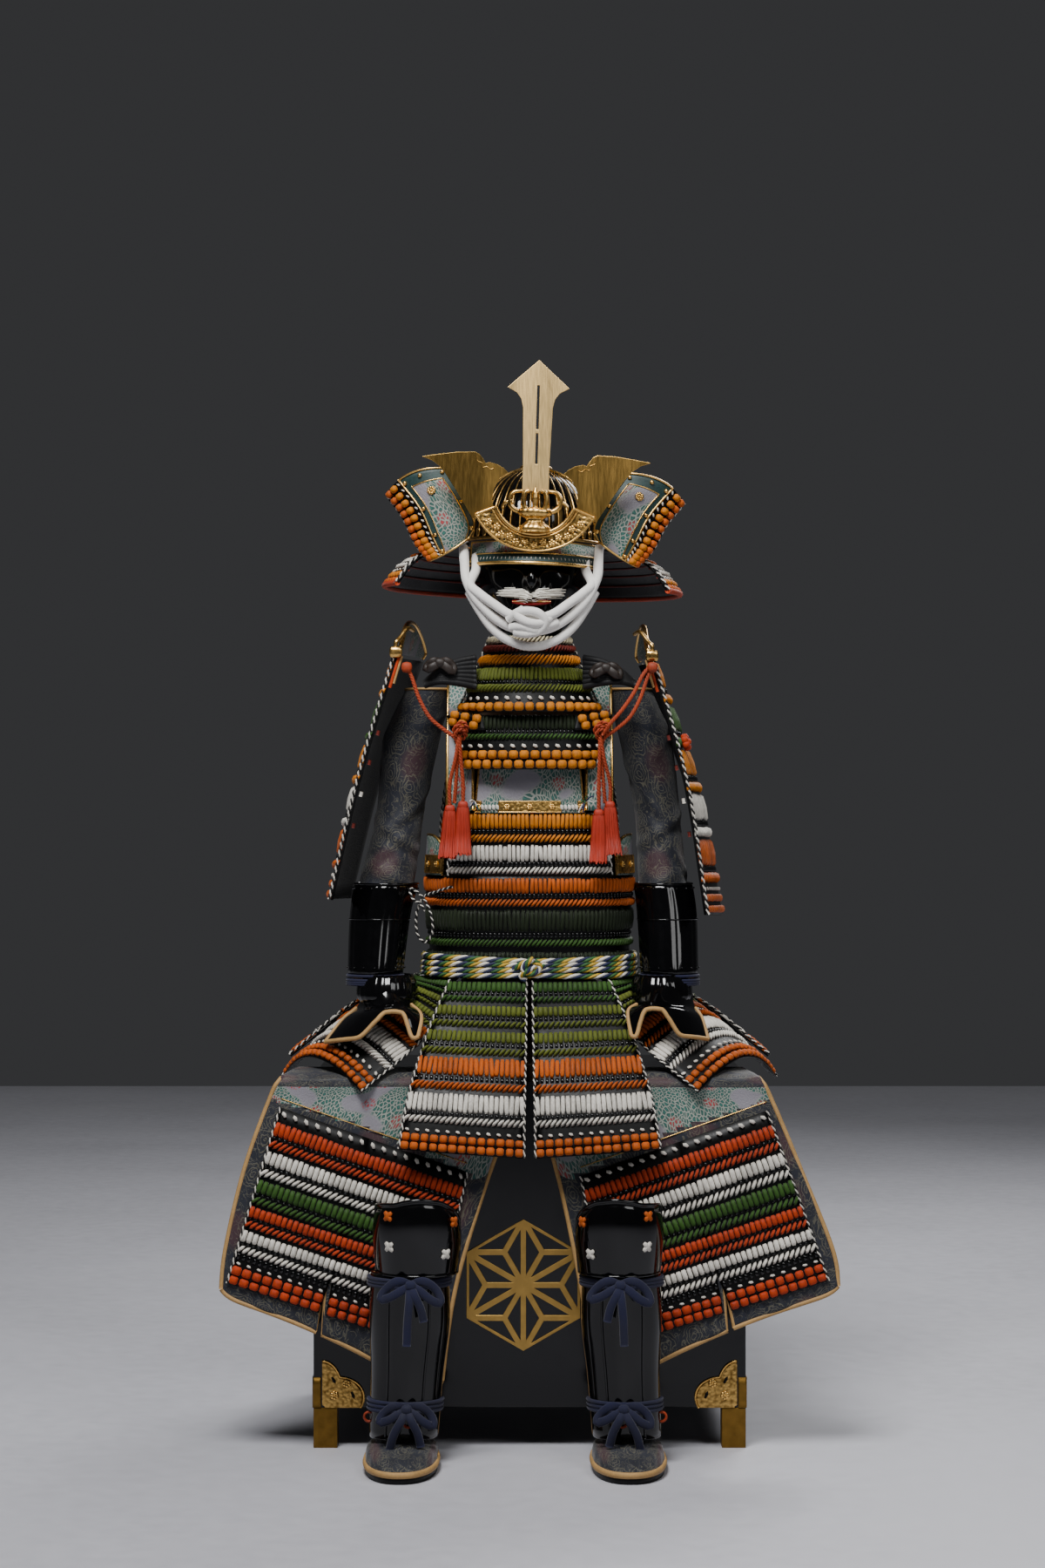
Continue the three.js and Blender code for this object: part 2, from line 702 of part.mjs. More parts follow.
function addArms() {
  for (const side of bothSides) {
    const sign = signOf[side];
    const tubeRows = sleeveRows[side].map((row) => ({ ...row, x: sign * row.x, from: -180, to: 180 }));
    const sleeve = wall(roundSurface(tubeRows), { thickness: cloth, columns: 14, rows: 10, around: true });
    addPiece(`sleeve_${side}`, sleeve, 'brocade');

    const plateRows = [forearmTop, 838, 790, forearmBottom].map((z) => {
      const arm = armAt(side, z);
      const outset = plate + 5;
      return {
        z,
        x: sign * arm.x,
        y: arm.y,
        across: arm.across + outset,
        deep: arm.deep + outset,
        from: -125,
        to: 125,
      };
    });
    const splints = wall(roundSurface(plateRows), { thickness: plate, columns: 12, rows: 2 });
    addPiece(`forearm_plate_${side}`, splints, 'lacquer');
  }
}

const handRows = {
  left: [
    { start: [280, -8, 737], end: [202, -14, 737], bulge: [0, -52, 0] },
    { start: [274, -22, 698], end: [193, -60, 704], bulge: [0, -46, 0] },
    { start: [300, -46, 673], end: [172, -98, 684], bulge: [0, -42, 12] },
    { start: [326, -78, 640], end: [176, -134, 650], bulge: [0, -26, 6] },
  ],
  right: [
    { start: [262, -8, 737], end: [182, -14, 737], bulge: [0, -52, 0] },
    { start: [264, -34, 698], end: [174, -72, 704], bulge: [0, -46, 0] },
    { start: [276, -58, 676], end: [156, -102, 690], bulge: [0, -42, 12] },
    { start: [284, -84, 645], end: [160, -134, 652], bulge: [0, -26, 6] },
  ],
};
// The lower edge arches up over the fingers: [share of the way in from the outer edge, share of the full length].
const handHem = [[0, 1], [0.38, 0.98], [0.54, 0.7], [0.8, 0.7], [0.94, 1], [1, 0.98]];

function hemAt(share) {
  const next = Math.max(1, handHem.findIndex(([at]) => at >= share));
  const [from, low] = handHem[next - 1];
  const [to, high] = handHem[next];
  return THREE.MathUtils.lerp(low, high, (share - from) / (to - from));
}

function addHands() {
  for (const side of bothSides) {
    const whole = sidePiece(handRows[side], side);
    const surface = (u, v) => whole(u, v * hemAt(side === 'left' ? u : 1 - u));
    addPiece(`hand_guard_${side}`, wall(surface, { thickness: plate, columns: 16, rows: 6 }), 'lacquer');
  }
}

// Shoulder guards: large curved laced shields on the upper arms, start at the back, end at the front.
const shoulderRows = {
  left: [
    { start: [184, 232, 1258], end: [216, -50, 1258], bulge: [14, 0, 0] },
    { start: [254, 242, 1062], end: [274, -62, 1060], bulge: [18, 0, 0] },
    { start: [306, 250, 858], end: [319, -72, 866], bulge: [16, 0, 0] },
  ],
  right: [
    { start: [190, 232, 1252], end: [198, -50, 1252], bulge: [12, 0, 0] },
    { start: [270, 240, 1046], end: [252, -62, 1050], bulge: [18, 0, 0] },
    { start: [318, 250, 830], end: [284, -72, 842], bulge: [18, 0, 0] },
  ],
};
const crownArch = 44;

function addShoulderGuards() {
  for (const side of bothSides) {
    const rows = shoulderRows[side];
    const surface = sidePiece(rows, side);
    const grid = { thickness: laced, columns: 6, rows: 6 };
    addPiece(`shoulder_guard_${side}`, wall(surface, grid), 'orangeLace');
    const { start, end, bulge } = rows[0];
    const lift = laced;
    const crownRows = [
      {
        start: [start[0] - 8, start[1] - 10, start[2] + 14],
        end: [end[0] - 8, end[1] + 10, end[2] + 14],
        bulge: [bulge[0] - 10, 0, crownArch],
      },
      {
        start: [start[0] - 2, start[1] - 4, start[2] + lift],
        end: [end[0] - 2, end[1] + 4, end[2] + lift],
        bulge: [bulge[0], 0, 0],
      },
    ];
    const crown = wall(sidePiece(crownRows, side), { thickness: leather, columns: 8, rows: 2 });
    addPiece(`crown_plate_${side}`, crown, 'printedLeather');
  }
}

// The legs ---------------------------------------------------------------------------

const thighRows = {
  left: [
    { start: [372, -34, 596], end: [8, -34, 596], bulge: [0, 0, 0] },
    { start: [392, -126, 588], end: [10, -126, 588], bulge: [0, 0, 0] },
    { start: [412, -137, 548], end: [24, -137, 546], bulge: [0, -2, 0] },
    { start: [450, -146, 440], end: [72, -148, 412], bulge: [0, -4, 4] },
    { start: [478, -154, 318], end: [118, -156, 252], bulge: [0, -5, 10] },
    { start: [485, -158, 246], end: [141, -160, 86], bulge: [0, -5, 16] },
  ],
  right: [
    { start: [342, -34, 596], end: [8, -34, 596], bulge: [0, 0, 0] },
    { start: [362, -126, 588], end: [9, -126, 588], bulge: [0, 0, 0] },
    { start: [384, -137, 546], end: [14, -137, 546], bulge: [0, -2, 0] },
    { start: [428, -146, 440], end: [50, -148, 412], bulge: [0, -4, 4] },
    { start: [476, -154, 318], end: [82, -156, 252], bulge: [0, -5, 10] },
    { start: [485, -158, 252], end: [106, -160, 92], bulge: [0, -5, 16] },
  ],
};
const thighSlits = {
  left: { x: 330, low: 150, high: 262, lean: 14 },
  right: { x: 320, low: 150, high: 262, lean: 10 },
};

function addThighGuards() {
  for (const side of bothSides) {
    const sign = signOf[side];
    const panel = wall(sidePiece(thighRows[side], side), { thickness: laced - 1, columns: 10, rows: 10 });
    const { x, low, high, lean } = thighSlits[side];
    const width = 5;
    const corners = [
      [sign * (x - width), low],
      [sign * (x + width), low],
      [sign * (x - lean), high],
    ];
    const slitTool = uprightPlate(outline(side === 'right' ? corners : corners.reverse()), 60, -190);
    addPiece(`thigh_guard_${side}`, cut(panel, slitTool), 'redLace');
  }
}

// Rows down the shin and knee; x is the distance from the middle of the suit.
const legX = {
  left: { knee: 174, shin: 186, ankle: 192, shoe: 197 },
  right: { knee: 138, shin: 142, ankle: 147, shoe: 151 },
};

function addLegs() {
  for (const side of bothSides) {
    const sign = signOf[side];
    const { knee, shin, ankle, shoe } = legX[side];
    const kneeRows = [
      { z: 414, x: sign * knee, y: -236, across: 60, deep: 58, from: -50, to: 50 },
      { z: 392, x: sign * knee, y: -236, across: 64, deep: 60, from: -76, to: 76 },
      { z: 350, x: sign * knee, y: -234, across: 66, deep: 62, from: -84, to: 84 },
      { z: 297, x: sign * knee, y: -230, across: 62, deep: 58, from: -84, to: 84 },
    ];
    addPiece(
      `knee_plate_${side}`,
      wall(roundSurface(kneeRows), { thickness: cloth, columns: 12, rows: 4 }),
      'lacquer',
    );
    const shinRows = [
      { z: 296, x: sign * shin, y: -226, across: 58, deep: 50, from: -94, to: 94 },
      { z: 220, x: sign * shin, y: -222, across: 60, deep: 52, from: -94, to: 94 },
      { z: 140, x: sign * (ankle - 2), y: -222, across: 54, deep: 48, from: -94, to: 94 },
      { z: 45, x: sign * (ankle + 3), y: -228, across: 51, deep: 47, from: -94, to: 94 },
    ];
    addPiece(
      `shin_guard_${side}`,
      wall(roundSurface(shinRows), { thickness: cloth, columns: 12, rows: 4 }),
      'lacquer',
    );
    addPiece(`shoe_${side}`, shoeGeometry(sign * shoe), 'brocade');
  }
}

// A soft shoe: an outer form from sole to ankle, hollowed by a smaller one that leaves the top open.
const shoeRows = [
  { z: 66, y: -228, across: 40, deep: 38 },
  { z: 39, y: -230, across: 41, deep: 39 },
  { z: 31, y: -246, across: 53, deep: 98 },
  { z: 13, y: -totalDepth / 2 + 124.5, across: 56, deep: 124 },
  { z: 0, y: -totalDepth / 2 + 124.5, across: 53, deep: 121 },
];
const shoeWall = 4;
const instepWall = 3;
const soleThickness = 8;

function shoeGeometry(x) {
  const outside = shoeRows.map((row) => ({ ...row, x }));
  const inside = shoeRows.slice(0, -1).map((row, k, all) => ({
    ...row,
    x,
    z: k === 0 ? row.z + 1 : Math.max(row.z - instepWall, soleThickness + (all.length - 1 - k) * 2),
    across: row.across - shoeWall,
    deep: row.deep - shoeWall,
  }));
  const shape = { columns: 18, power: 2.3 };
  return cut(roundSolid(outside, { ...shape, steps: 8 }), roundSolid(inside, { ...shape, steps: 6 }));
}

// Free cords -----------------------------------------------------------------------

// The chin cord leaves the helmet at the left temple, passes under the chin and goes back in at the right.
const chinRoute = [
  [-109, -36, 1430],
  [-107, -56, 1404],
  [-104, -76, 1376],
  [-88, -92, 1344],
  [-62, -103, 1316],
  [-32, -108, 1298],
  [0, -110, 1292],
  [32, -108, 1298],
  [62, -103, 1316],
  [88, -92, 1344],
  [104, -76, 1376],
  [107, -56, 1404],
  [109, -36, 1430],
];
// A shoulder cord hangs in a loop from the shoulder guard to a knot on the chest, and down to its tassels.
const shoulderRoute = [
  [-197, -63, 1238],
  [-188, -68, 1220],
  [-176, -76, 1186],
  [-159, -82, 1156],
  [-136, -85, 1136],
  [-118, -84, 1122],
  [-114, -82, 1102],
  [-116, -80, 1072],
  [-118, -78, 1044],
  [-120, -76, 1020],
];
const tasselRows = [
  { z: 1018, x: 120, y: -75, across: 12, deep: 6 },
  { z: 1010, x: 120, y: -75, across: 21, deep: 10 },
  { z: 996, x: 120, y: -75, across: 20, deep: 9 },
  { z: 928, x: 121, y: -77, across: 24, deep: 11 },
];

function addCords() {
  addPiece('chin_cord', tube(chinRoute, chinCord), 'whiteCord', face);
  for (const side of bothSides) {
    const route = side === 'left' ? shoulderRoute : mirrorPoints(shoulderRoute);
    addPiece(`shoulder_cord_${side}`, tube(route, shoulderCord), 'redLace');
    const rows = tasselRows.map((row) => ({ ...row, x: signOf[side] * row.x }));
    addPiece(`tassels_${side}`, roundSolid(rows, { columns: 12, steps: 4 }), 'redLace');
  }
}

addChest();
addChestLegs();
addEmblem();
addStand();
addCuirass();
addShoulderStraps();
addBelt();
addThroat();
addHelmet();
addCrest();
addMask();
addSkirts();
addArms();
addHands();
addShoulderGuards();
addThighGuards();
addLegs();
addCords();

export default suit;
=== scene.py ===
# %% [markdown]
# A seated suit of samurai armour on its lacquered chest.
# The CAD model is loaded first and never moved. Each part that needs finer form is worked out again here
# on the same tables of sizes, as a surface P(u, v): u runs across the piece, v from its top edge down.

import json
import math

import bpy
import numpy as np
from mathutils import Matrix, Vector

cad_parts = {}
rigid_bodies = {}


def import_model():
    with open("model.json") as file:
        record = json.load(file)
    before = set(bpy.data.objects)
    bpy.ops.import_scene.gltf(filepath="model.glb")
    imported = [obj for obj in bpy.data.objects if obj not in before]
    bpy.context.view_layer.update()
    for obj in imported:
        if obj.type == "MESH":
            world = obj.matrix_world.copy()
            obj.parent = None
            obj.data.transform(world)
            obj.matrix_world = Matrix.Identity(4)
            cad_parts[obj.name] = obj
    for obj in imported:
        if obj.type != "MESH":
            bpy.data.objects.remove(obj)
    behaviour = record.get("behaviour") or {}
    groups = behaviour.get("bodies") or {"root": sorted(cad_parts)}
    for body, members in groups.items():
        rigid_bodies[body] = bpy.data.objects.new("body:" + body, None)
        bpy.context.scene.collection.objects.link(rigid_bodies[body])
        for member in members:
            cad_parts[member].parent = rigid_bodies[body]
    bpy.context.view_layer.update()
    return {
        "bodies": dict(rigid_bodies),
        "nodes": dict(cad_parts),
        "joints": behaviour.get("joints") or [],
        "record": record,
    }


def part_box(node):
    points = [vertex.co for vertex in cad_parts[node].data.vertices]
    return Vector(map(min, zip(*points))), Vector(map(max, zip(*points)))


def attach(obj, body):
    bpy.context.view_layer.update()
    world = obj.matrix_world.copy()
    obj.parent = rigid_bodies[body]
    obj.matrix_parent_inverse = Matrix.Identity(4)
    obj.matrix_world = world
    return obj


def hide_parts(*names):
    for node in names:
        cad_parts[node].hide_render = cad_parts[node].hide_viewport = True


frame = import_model()

BODY = "root"
MM = 0.001
rng = np.random.default_rng(7)

# %% [markdown]
# The camera stands five metres away at chest height with a long lens, level and straight on.
# A long lens keeps the suit's proportions, and both sides are seen almost alike.

# %% Camera
LENS_MM, SENSOR_MM = 74.08, 36
EYE = (-0.0113, -5.215, 1.050)
camera_data = bpy.data.cameras.new("camera")
camera_data.lens = LENS_MM
camera_data.sensor_width = SENSOR_MM
camera = bpy.data.objects.new("camera", camera_data)
bpy.context.collection.objects.link(camera)
camera.location = EYE
camera.rotation_euler = (math.pi / 2, 0, 0)
bpy.context.scene.camera = camera
print("camera at", tuple(camera.location))

# %% [markdown]
# Tables become surfaces. A smooth column is a Catmull-Rom curve through the table's values, the same one
# that the CAD uses, so a new piece lies exactly where its solid does.


# %% Tables to surfaces
def smooth(rows, place):
    """Values down a table at place 0 to 1: the chord between two rows, less half t(1 - t) of its bend."""
    rows = np.asarray(rows, float)
    last = len(rows) - 1
    full = np.vstack([2 * rows[:1] - rows[1:2], rows, 2 * rows[-1:] - rows[-2:-1]])
    at = np.clip(place, 0, 1) * last
    row = np.minimum(at.astype(int), last - 1)
    t = (at - row)[..., None]
    before, here, after, beyond = (full[row + k] for k in range(4))
    bend = (before - 2 * here + after) * (1 - t) + (here - 2 * after + beyond) * t
    return here + (after - here) * t - 0.5 * t * (1 - t) * bend


def grid(u, v):
    """u and v as arrays of numbers, spread to one shape."""
    return np.broadcast_arrays(np.asarray(u, float), np.asarray(v, float))


def unit(vectors, least=1e-12):
    """Each vector divided by its length; least keeps a vector of no length from dividing by zero."""
    return vectors / np.maximum(np.linalg.norm(vectors, axis=-1, keepdims=True), least)


def length_of(path):
    """The length of a line through points."""
    return float(np.linalg.norm(np.diff(path, axis=0), axis=1).sum())


def run_along(path):
    """The distance along a path at each of its points, from 0."""
    return np.concatenate([[0], np.cumsum(np.linalg.norm(np.diff(path, axis=0), axis=1))])


def bent(wave, power):
    """A sine or cosine raised to a power below 1, which squares the round that it draws."""
    return np.sign(wave) * np.abs(wave) ** power


def middles(count):
    """The middles of count equal parts of 0 to 1."""
    return (np.arange(count) + 0.5) / count


def cell_corners(across, down):
    """u and v at every corner of a grid of cells."""
    return np.meshgrid(np.linspace(0, 1, across + 1), np.linspace(0, 1, down + 1))


def round_surface(rows, power=2.0):
    """Rows of z, x, y, across, deep, from, to: a superellipse about (x, y), angle 0 in front, 90 at +X."""

    def at(u, v):
        u, v = grid(u, v)
        z, x, y, across, deep, start, end = np.moveaxis(smooth(rows, v), -1, 0)
        angle = np.radians(start + (end - start) * u)
        side, front = (bent(wave, 2 / power) for wave in (np.sin(angle), np.cos(angle)))
        return np.stack([x + across * side, y - deep * front, z], -1) * MM

    return at


def sheet_surface(rows):
    """Rows of start, end and bulge points: the chord from start to end plus bulge times 4u(1 - u)."""

    def at(u, v):
        u, v = grid(u, v)
        table = smooth([np.ravel(row) for row in rows], v)
        start, end, bulge = table[..., 0:3], table[..., 3:6], table[..., 6:9]
        u = u[..., None]
        return (start + (end - start) * u + bulge * 4 * u * (1 - u)) * MM

    return at


def side_piece(rows, side):
    """A sheet for one side: x in the table is the distance from the middle, left is -X."""
    flip = np.array([-1, 1, 1])
    left = sheet_surface([[np.array(p) * flip for p in row] for row in rows])
    if side == "left":
        return left
    return lambda u, v: turned(left)(u, v) * flip


def turned(surface):
    """A surface whose u runs the other way, or a curve of u read from its other end."""
    return lambda u, *v: surface(1 - np.asarray(u, float), *v)


def part_of(surface, u0=0.0, u1=1.0, v0=0.0, v1=1.0):
    """The patch of a surface between u0 and u1 across and v0 and v1 down; each may vary along the other."""

    def at(u, v):
        u, v = grid(u, v)
        top = v0(u) if callable(v0) else v0
        low = v1(u) if callable(v1) else v1
        return surface(u0 + (u1 - u0) * u, top + (low - top) * v)

    return at


def frames_on(surface, u, v):
    """Unit vectors across, down and outwards at (u, v), from the surface's own small differences."""
    step = 1e-3
    u, v = grid(u, v)
    across = surface(u + step, v) - surface(u - step, v)
    down = surface(u, np.minimum(v + step, 1)) - surface(u, np.maximum(v - step, 0))
    out = np.cross(down, across)
    across, out = unit(across), unit(out)
    return across, np.cross(across, out), out


def moved_out(surface, distance):
    """The surface moved outwards along its normals by a distance in metres."""
    return lambda u, v: surface(u, v) + frames_on(surface, u, v)[2] * distance


def even(surface, count, v=0.5):
    """count + 1 values of u that cut the surface's line at v into equal lengths."""
    fine = np.linspace(0, 1, 400)
    run = run_along(surface(fine, v))
    return np.interp(np.linspace(0, run[-1], count + 1), run, fine), run[-1]


both_sides = ("left", "right")
sign_of = {"left": -1, "right": 1}

# %% [markdown]
# Every mesh goes through one function. It takes whole arrays of points and faces, gives each face its
# finish, and puts the piece on the body. It works out a slot from the first finish, but keeps it nowhere.


# %% Arrays to meshes
finish_of = {}
# The slot of a piece by its first finish, unless its call says another; silks and cloths take the lacing's.
SLOT_OF = {
    "black_lacquer": "black_lacquered_iron",
    "printed_leather": "printed_leather",
    "tan_leather": "printed_leather",
    "brocade": "brocade",
    "orange_cord": "orange_cord",
    "tassel_silk": "orange_cord",
    "white_cotton": "white_cord",
    "white_hair": "white_cord",
    "gold": "gold_fittings",
    "carved_gold": "gold_fittings",
    "old_brass": "gold_fittings",
}


def make(name, points, faces, finish, face_finish=None, uv=None, slot=None, nodes=()):
    """One mesh: faces is a list of (n, k) index arrays, face_finish one material number per face."""
    mesh = bpy.data.meshes.new(name)
    faces = [np.asarray(block, int) for block in faces if len(block)]
    loops = np.concatenate([block.ravel() for block in faces])
    sizes = np.concatenate([np.full(len(block), block.shape[1]) for block in faces])
    mesh.vertices.add(len(points))
    mesh.vertices.foreach_set("co", np.asarray(points, np.float32).ravel())
    mesh.loops.add(len(loops))
    mesh.loops.foreach_set("vertex_index", loops.astype(np.int32))
    mesh.polygons.add(len(sizes))
    mesh.polygons.foreach_set("loop_start", (np.cumsum(sizes) - sizes).astype(np.int32))
    mesh.polygons.foreach_set("loop_total", sizes.astype(np.int32))
    finish = [finish] if isinstance(finish, str) else finish
    slot = slot or SLOT_OF.get(finish[0], "silk_lacing")
    for label in finish:
        mesh.materials.append(finish_of[label])
    if face_finish is not None:
        mesh.polygons.foreach_set("material_index", np.asarray(face_finish, np.int32))
    if uv is not None:
        layer = mesh.uv_layers.new(name="cut")
        layer.data.foreach_set("uv", np.asarray(uv, np.float32)[loops].ravel())
    mesh.update(calc_edges=True)
    mesh.validate()
    mesh.shade_smooth()
    obj = bpy.data.objects.new(name, mesh)
    bpy.context.collection.objects.link(obj)
    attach(obj, BODY)
    if nodes:
        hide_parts(*nodes)
    return obj


def quads(index):
    """The cells of a grid of vertex numbers, wound so that P(u, v) faces outwards."""
    return np.stack([index[:-1, :-1], index[1:, :-1], index[1:, 1:], index[:-1, 1:]], -1).reshape(-1, 4)


def shell(name, surface, cells, wall, finish, cell_finish=None, lining=None, relief=0.0, around=False,
          slit=None, **how):
    """A closed wall: the surface plus relief outside, its copy set in by wall inside, joined round the rim.
    slit is (column, row, gap): below that row the two sides of the column part by gap times the depth."""
    across, down = cells
    u, v = cell_corners(across, down)
    outside = surface(u, v)
    out = frames_on(surface, u, v)[2]
    relief = np.broadcast_to(relief, u.shape)
    layers = [outside + out * relief[..., None], outside - out * wall]
    width = np.linalg.norm(np.diff(outside, axis=1), axis=-1).sum(1)
    length = np.linalg.norm(np.diff(outside, axis=0), axis=-1).sum(0).mean()
    cut = np.stack([(u - 0.5) * width[:, None], v * length], -1)
    size = (down + 1) * (across + 1)
    index = np.arange(size).reshape(down + 1, across + 1)
    if around:
        index = np.hstack([index[:, :-1], index[:, :1]])
    points = [layer.reshape(-1, 3) for layer in layers]
    uv = np.concatenate([cut.reshape(-1, 2)] * 2)
    left, right = index, index
    if slit:
        column, row, gap = slit
        below = np.arange(row + 1, down + 1)
        part = np.linspace(0, 1, down + 1 - row)[1:, None] * gap
        along = frames_on(surface, u[below, column], v[below, column])[0]
        right = index.copy()
        twins = []
        for layer in points:
            here = layer[index[below, column]]
            layer[index[below, column]] = here - along * part
            twins.append(here + along * part)
        points += twins
        right[below, column] = 2 * size + np.arange(len(below))
        uv = np.concatenate([uv] + [cut[below, column]] * 2)
    points = np.concatenate(points)

    def inner(outer):
        """The inside vertex under each outside vertex."""
        extra = len(below) if slit else 0
        return np.where(outer < size, outer + size, outer + extra)

    blocks = [left[:, : slit[0] + 1], right[:, slit[0] :]] if slit else [index]
    outer_faces = [quads(block) for block in blocks]
    inner_faces = [quads(inner(block))[:, ::-1] for block in blocks]
    rims = []

    def rim(line):
        """Faces from a line of outside vertices to the inside, with the outside on the line's left."""
        rims.append(np.stack([line[:-1], line[1:], inner(line[1:]), inner(line[:-1])], -1))

    rim(index[0])
    rim(right[-1][::-1] if not slit else left[-1, : slit[0] + 1][::-1])
    if slit:
        rim(right[-1, slit[0] :][::-1])
        rim(left[slit[1] :, slit[0]][::-1])
        rim(right[slit[1] :, slit[0]])
    if not around:
        rim(index[:, 0][::-1])
        rim(index[:, -1])
    if cell_finish is None:
        cell_finish = np.zeros((down, across), int)
    cell_finish = np.broadcast_to(cell_finish, (down, across))
    columns = [cell_finish[:, : slit[0]], cell_finish[:, slit[0] :]] if slit else [cell_finish]
    outer_numbers = np.concatenate([block.ravel() for block in columns])
    finish = [finish] if isinstance(finish, str) else list(finish)
    if lining is not None:
        finish.append(lining)
        inner_numbers = np.full(len(outer_numbers), len(finish) - 1)
    else:
        inner_numbers = outer_numbers
    rim_count = sum(len(block) for block in rims)
    rim_numbers = np.full(rim_count, inner_numbers[0])
    numbers = np.concatenate([outer_numbers, inner_numbers, rim_numbers])
    return make(name, points, outer_faces + inner_faces + rims, finish, numbers, uv, **how)


def placed(form, faces, places, frames, sizes):
    """Copies of a small form: each point is place + frame rows times (form times size)."""
    sizes = np.broadcast_to(sizes, (len(places), 3))
    local = form[None] * sizes[:, None]
    points = places[:, None] + np.einsum("npk,nkc->npc", local, frames)
    shift = (np.arange(len(places)) * len(form))[:, None, None]
    return points.reshape(-1, 3), [(block[None] + shift).reshape(-1, block.shape[1]) for block in faces]


def capped(body, sides, tip):
    """Rings of points closed by a fan to height 1 above the first ring and a fan to the height tip below."""
    points = np.vstack([body, [[0, 0, 1], [0, 0, tip]]])
    index = np.arange(len(body)).reshape(-1, sides)
    closed = np.hstack([index, index[:, :1]])
    top = np.stack([np.full(sides, len(body)), index[0], np.roll(index[0], -1)], -1)
    low = np.stack([np.full(sides, len(body) + 1), np.roll(index[-1], -1), index[-1]], -1)
    return points, [quads(closed), np.vstack([top, low])]


def corners_of(sides):
    """The angles of a ring's corners, turned by half a side."""
    return np.arange(sides) * 2 * math.pi / sides + math.pi / sides


def pillow(sides=8, rings=4, square=0.75):
    """A rounded knot: a sphere whose sines and cosines are raised to the power square."""
    theta = np.linspace(0, math.pi, rings + 2)[1:-1]
    phi = corners_of(sides)
    wide = bent(np.sin(theta), square)[:, None]
    high = np.repeat(np.cos(theta)[:, None], sides, 1)
    body = np.stack([wide * bent(np.cos(phi), square), wide * bent(np.sin(phi), square), high],
                    -1).reshape(-1, 3)
    return capped(body, sides, -1)


def half_pillow(sides=8, square=0.5, rings=((0.82, 0.72), (1.0, 0.0))):
    """The upper half of a rounded knot on a flat base; rings are (width, height) from the top down."""
    phi = corners_of(sides)
    outline = np.stack([bent(wave, square) for wave in (np.cos(phi), np.sin(phi))], -1)
    body = np.concatenate([np.hstack([outline * wide, np.full((sides, 1), high)]) for wide, high in rings])
    return capped(body, sides, 0)


def join(parts):
    """Several (points, faces) put into one set of points and faces, and the number of each face's part."""
    points, faces, owner = [], [], []
    start = 0
    for number, (some, blocks) in enumerate(parts):
        points.append(some)
        for block in blocks:
            faces.append(block + start)
            owner.append(np.full(len(block), number))
        start += len(some)
    return np.concatenate(points), faces, np.concatenate(owner)


def line(points, step=0.004, closed=False):
    """A smooth line through points, in metres, cut into equal steps."""
    points = np.asarray(points, float)
    if closed:
        points = np.vstack([points, points[:1]])
    fine = smooth(points, np.linspace(0, 1, 40 * len(points)))
    run = run_along(fine)
    count = max(int(run[-1] / step), 4)
    at = np.linspace(0, run[-1], count + 1)
    return np.stack([np.interp(at, run, fine[:, k]) for k in range(3)], -1)


def around_line(path, up):
    """Unit side and upward vectors along a path: side is the tangent crossed with up."""
    tangent = unit(np.gradient(path, axis=0))
    side = unit(np.cross(tangent, np.broadcast_to(up, path.shape)), 1e-9)
    return side, np.cross(side, tangent)


def tube(path, radius, sides=8, up=(0, 1, 0), flat=1.0, closed=False):
    """A ring of points round each point of a path, capped at both ends: radius times (cos, flat sin)."""
    side, rise = around_line(path, up)
    if closed:
        path, side, rise = path[:-1], side[:-1], rise[:-1]
    turn = np.arange(sides) * 2 * math.pi / sides
    radius = np.broadcast_to(radius, len(path))[:, None, None]
    ring = side[:, None] * np.cos(turn)[None, :, None] + rise[:, None] * np.sin(turn)[None, :, None] * flat
    points = (path[:, None] + radius * ring).reshape(-1, 3)
    index = np.arange(len(path) * sides).reshape(len(path), sides)
    index = np.hstack([index, index[:, :1]])
    if closed:
        index = np.vstack([index, index[:1]])
        return points, [quads(index)[:, ::-1]]
    return points, [quads(index)[:, ::-1], index[:1, :-1], index[-1:, -2::-1]]


def rope(path, radius, strands=3, lay=0.014, sides=5, up=(0, 1, 0), closed=False):
    """Strands wound round a path: each is a tube whose line circles the path once in every lay."""
    side, rise = around_line(path, up)
    run = run_along(path)
    turns = run / lay
    if closed:
        turns = run / run[-1] * max(round(run[-1] / lay), 1)
    made = []
    for k in range(strands):
        angle = (2 * math.pi * (turns + k / strands))[:, None]
        centre = path + radius * 0.52 * (side * np.cos(angle) + rise * np.sin(angle))
        made.append(tube(centre, radius * 0.52, sides, up, closed=closed))
    return made


def tubes(name, parts, finish, each=None, **how):
    """Several tubes as one mesh; each gives the number of the finish of every tube."""
    points, faces, owner = join(parts)
    numbers = None if each is None else np.asarray(each)[owner]
    return make(name, points, faces, finish, numbers, **how)


print("helpers ready")

# %% [markdown]
# Finishes are node trees. What many of them share, an uneven grain with its own bump, is one node group
# that each material fills in with its own scale and range.


# %% Material helpers
def colour(code):
    """A hex colour as the linear values that Blender's sockets take."""
    part = np.array([int(code[k : k + 2], 16) / 255 for k in (1, 3, 5)])
    straight = np.where(part <= 0.04045, part / 12.92, ((part + 0.055) / 1.055) ** 2.4)
    return (*straight, 1.0)


def feed(tree, socket, value):
    """Give a socket its value: a link from another node's output, or a number."""
    if isinstance(value, bpy.types.NodeSocket):
        tree.links.new(value, socket)
    else:
        socket.default_value = value


def add(tree, kind, settings=None, **inputs):
    """One node: settings are its own options, inputs are numbers or other nodes' outputs by socket name."""
    made = tree.nodes.new("ShaderNode" + kind)
    for label, value in (settings or {}).items():
        setattr(made, label, value)
    for label, value in inputs.items():
        feed(tree, made.inputs[label.replace("_", " ")], value)
    return made


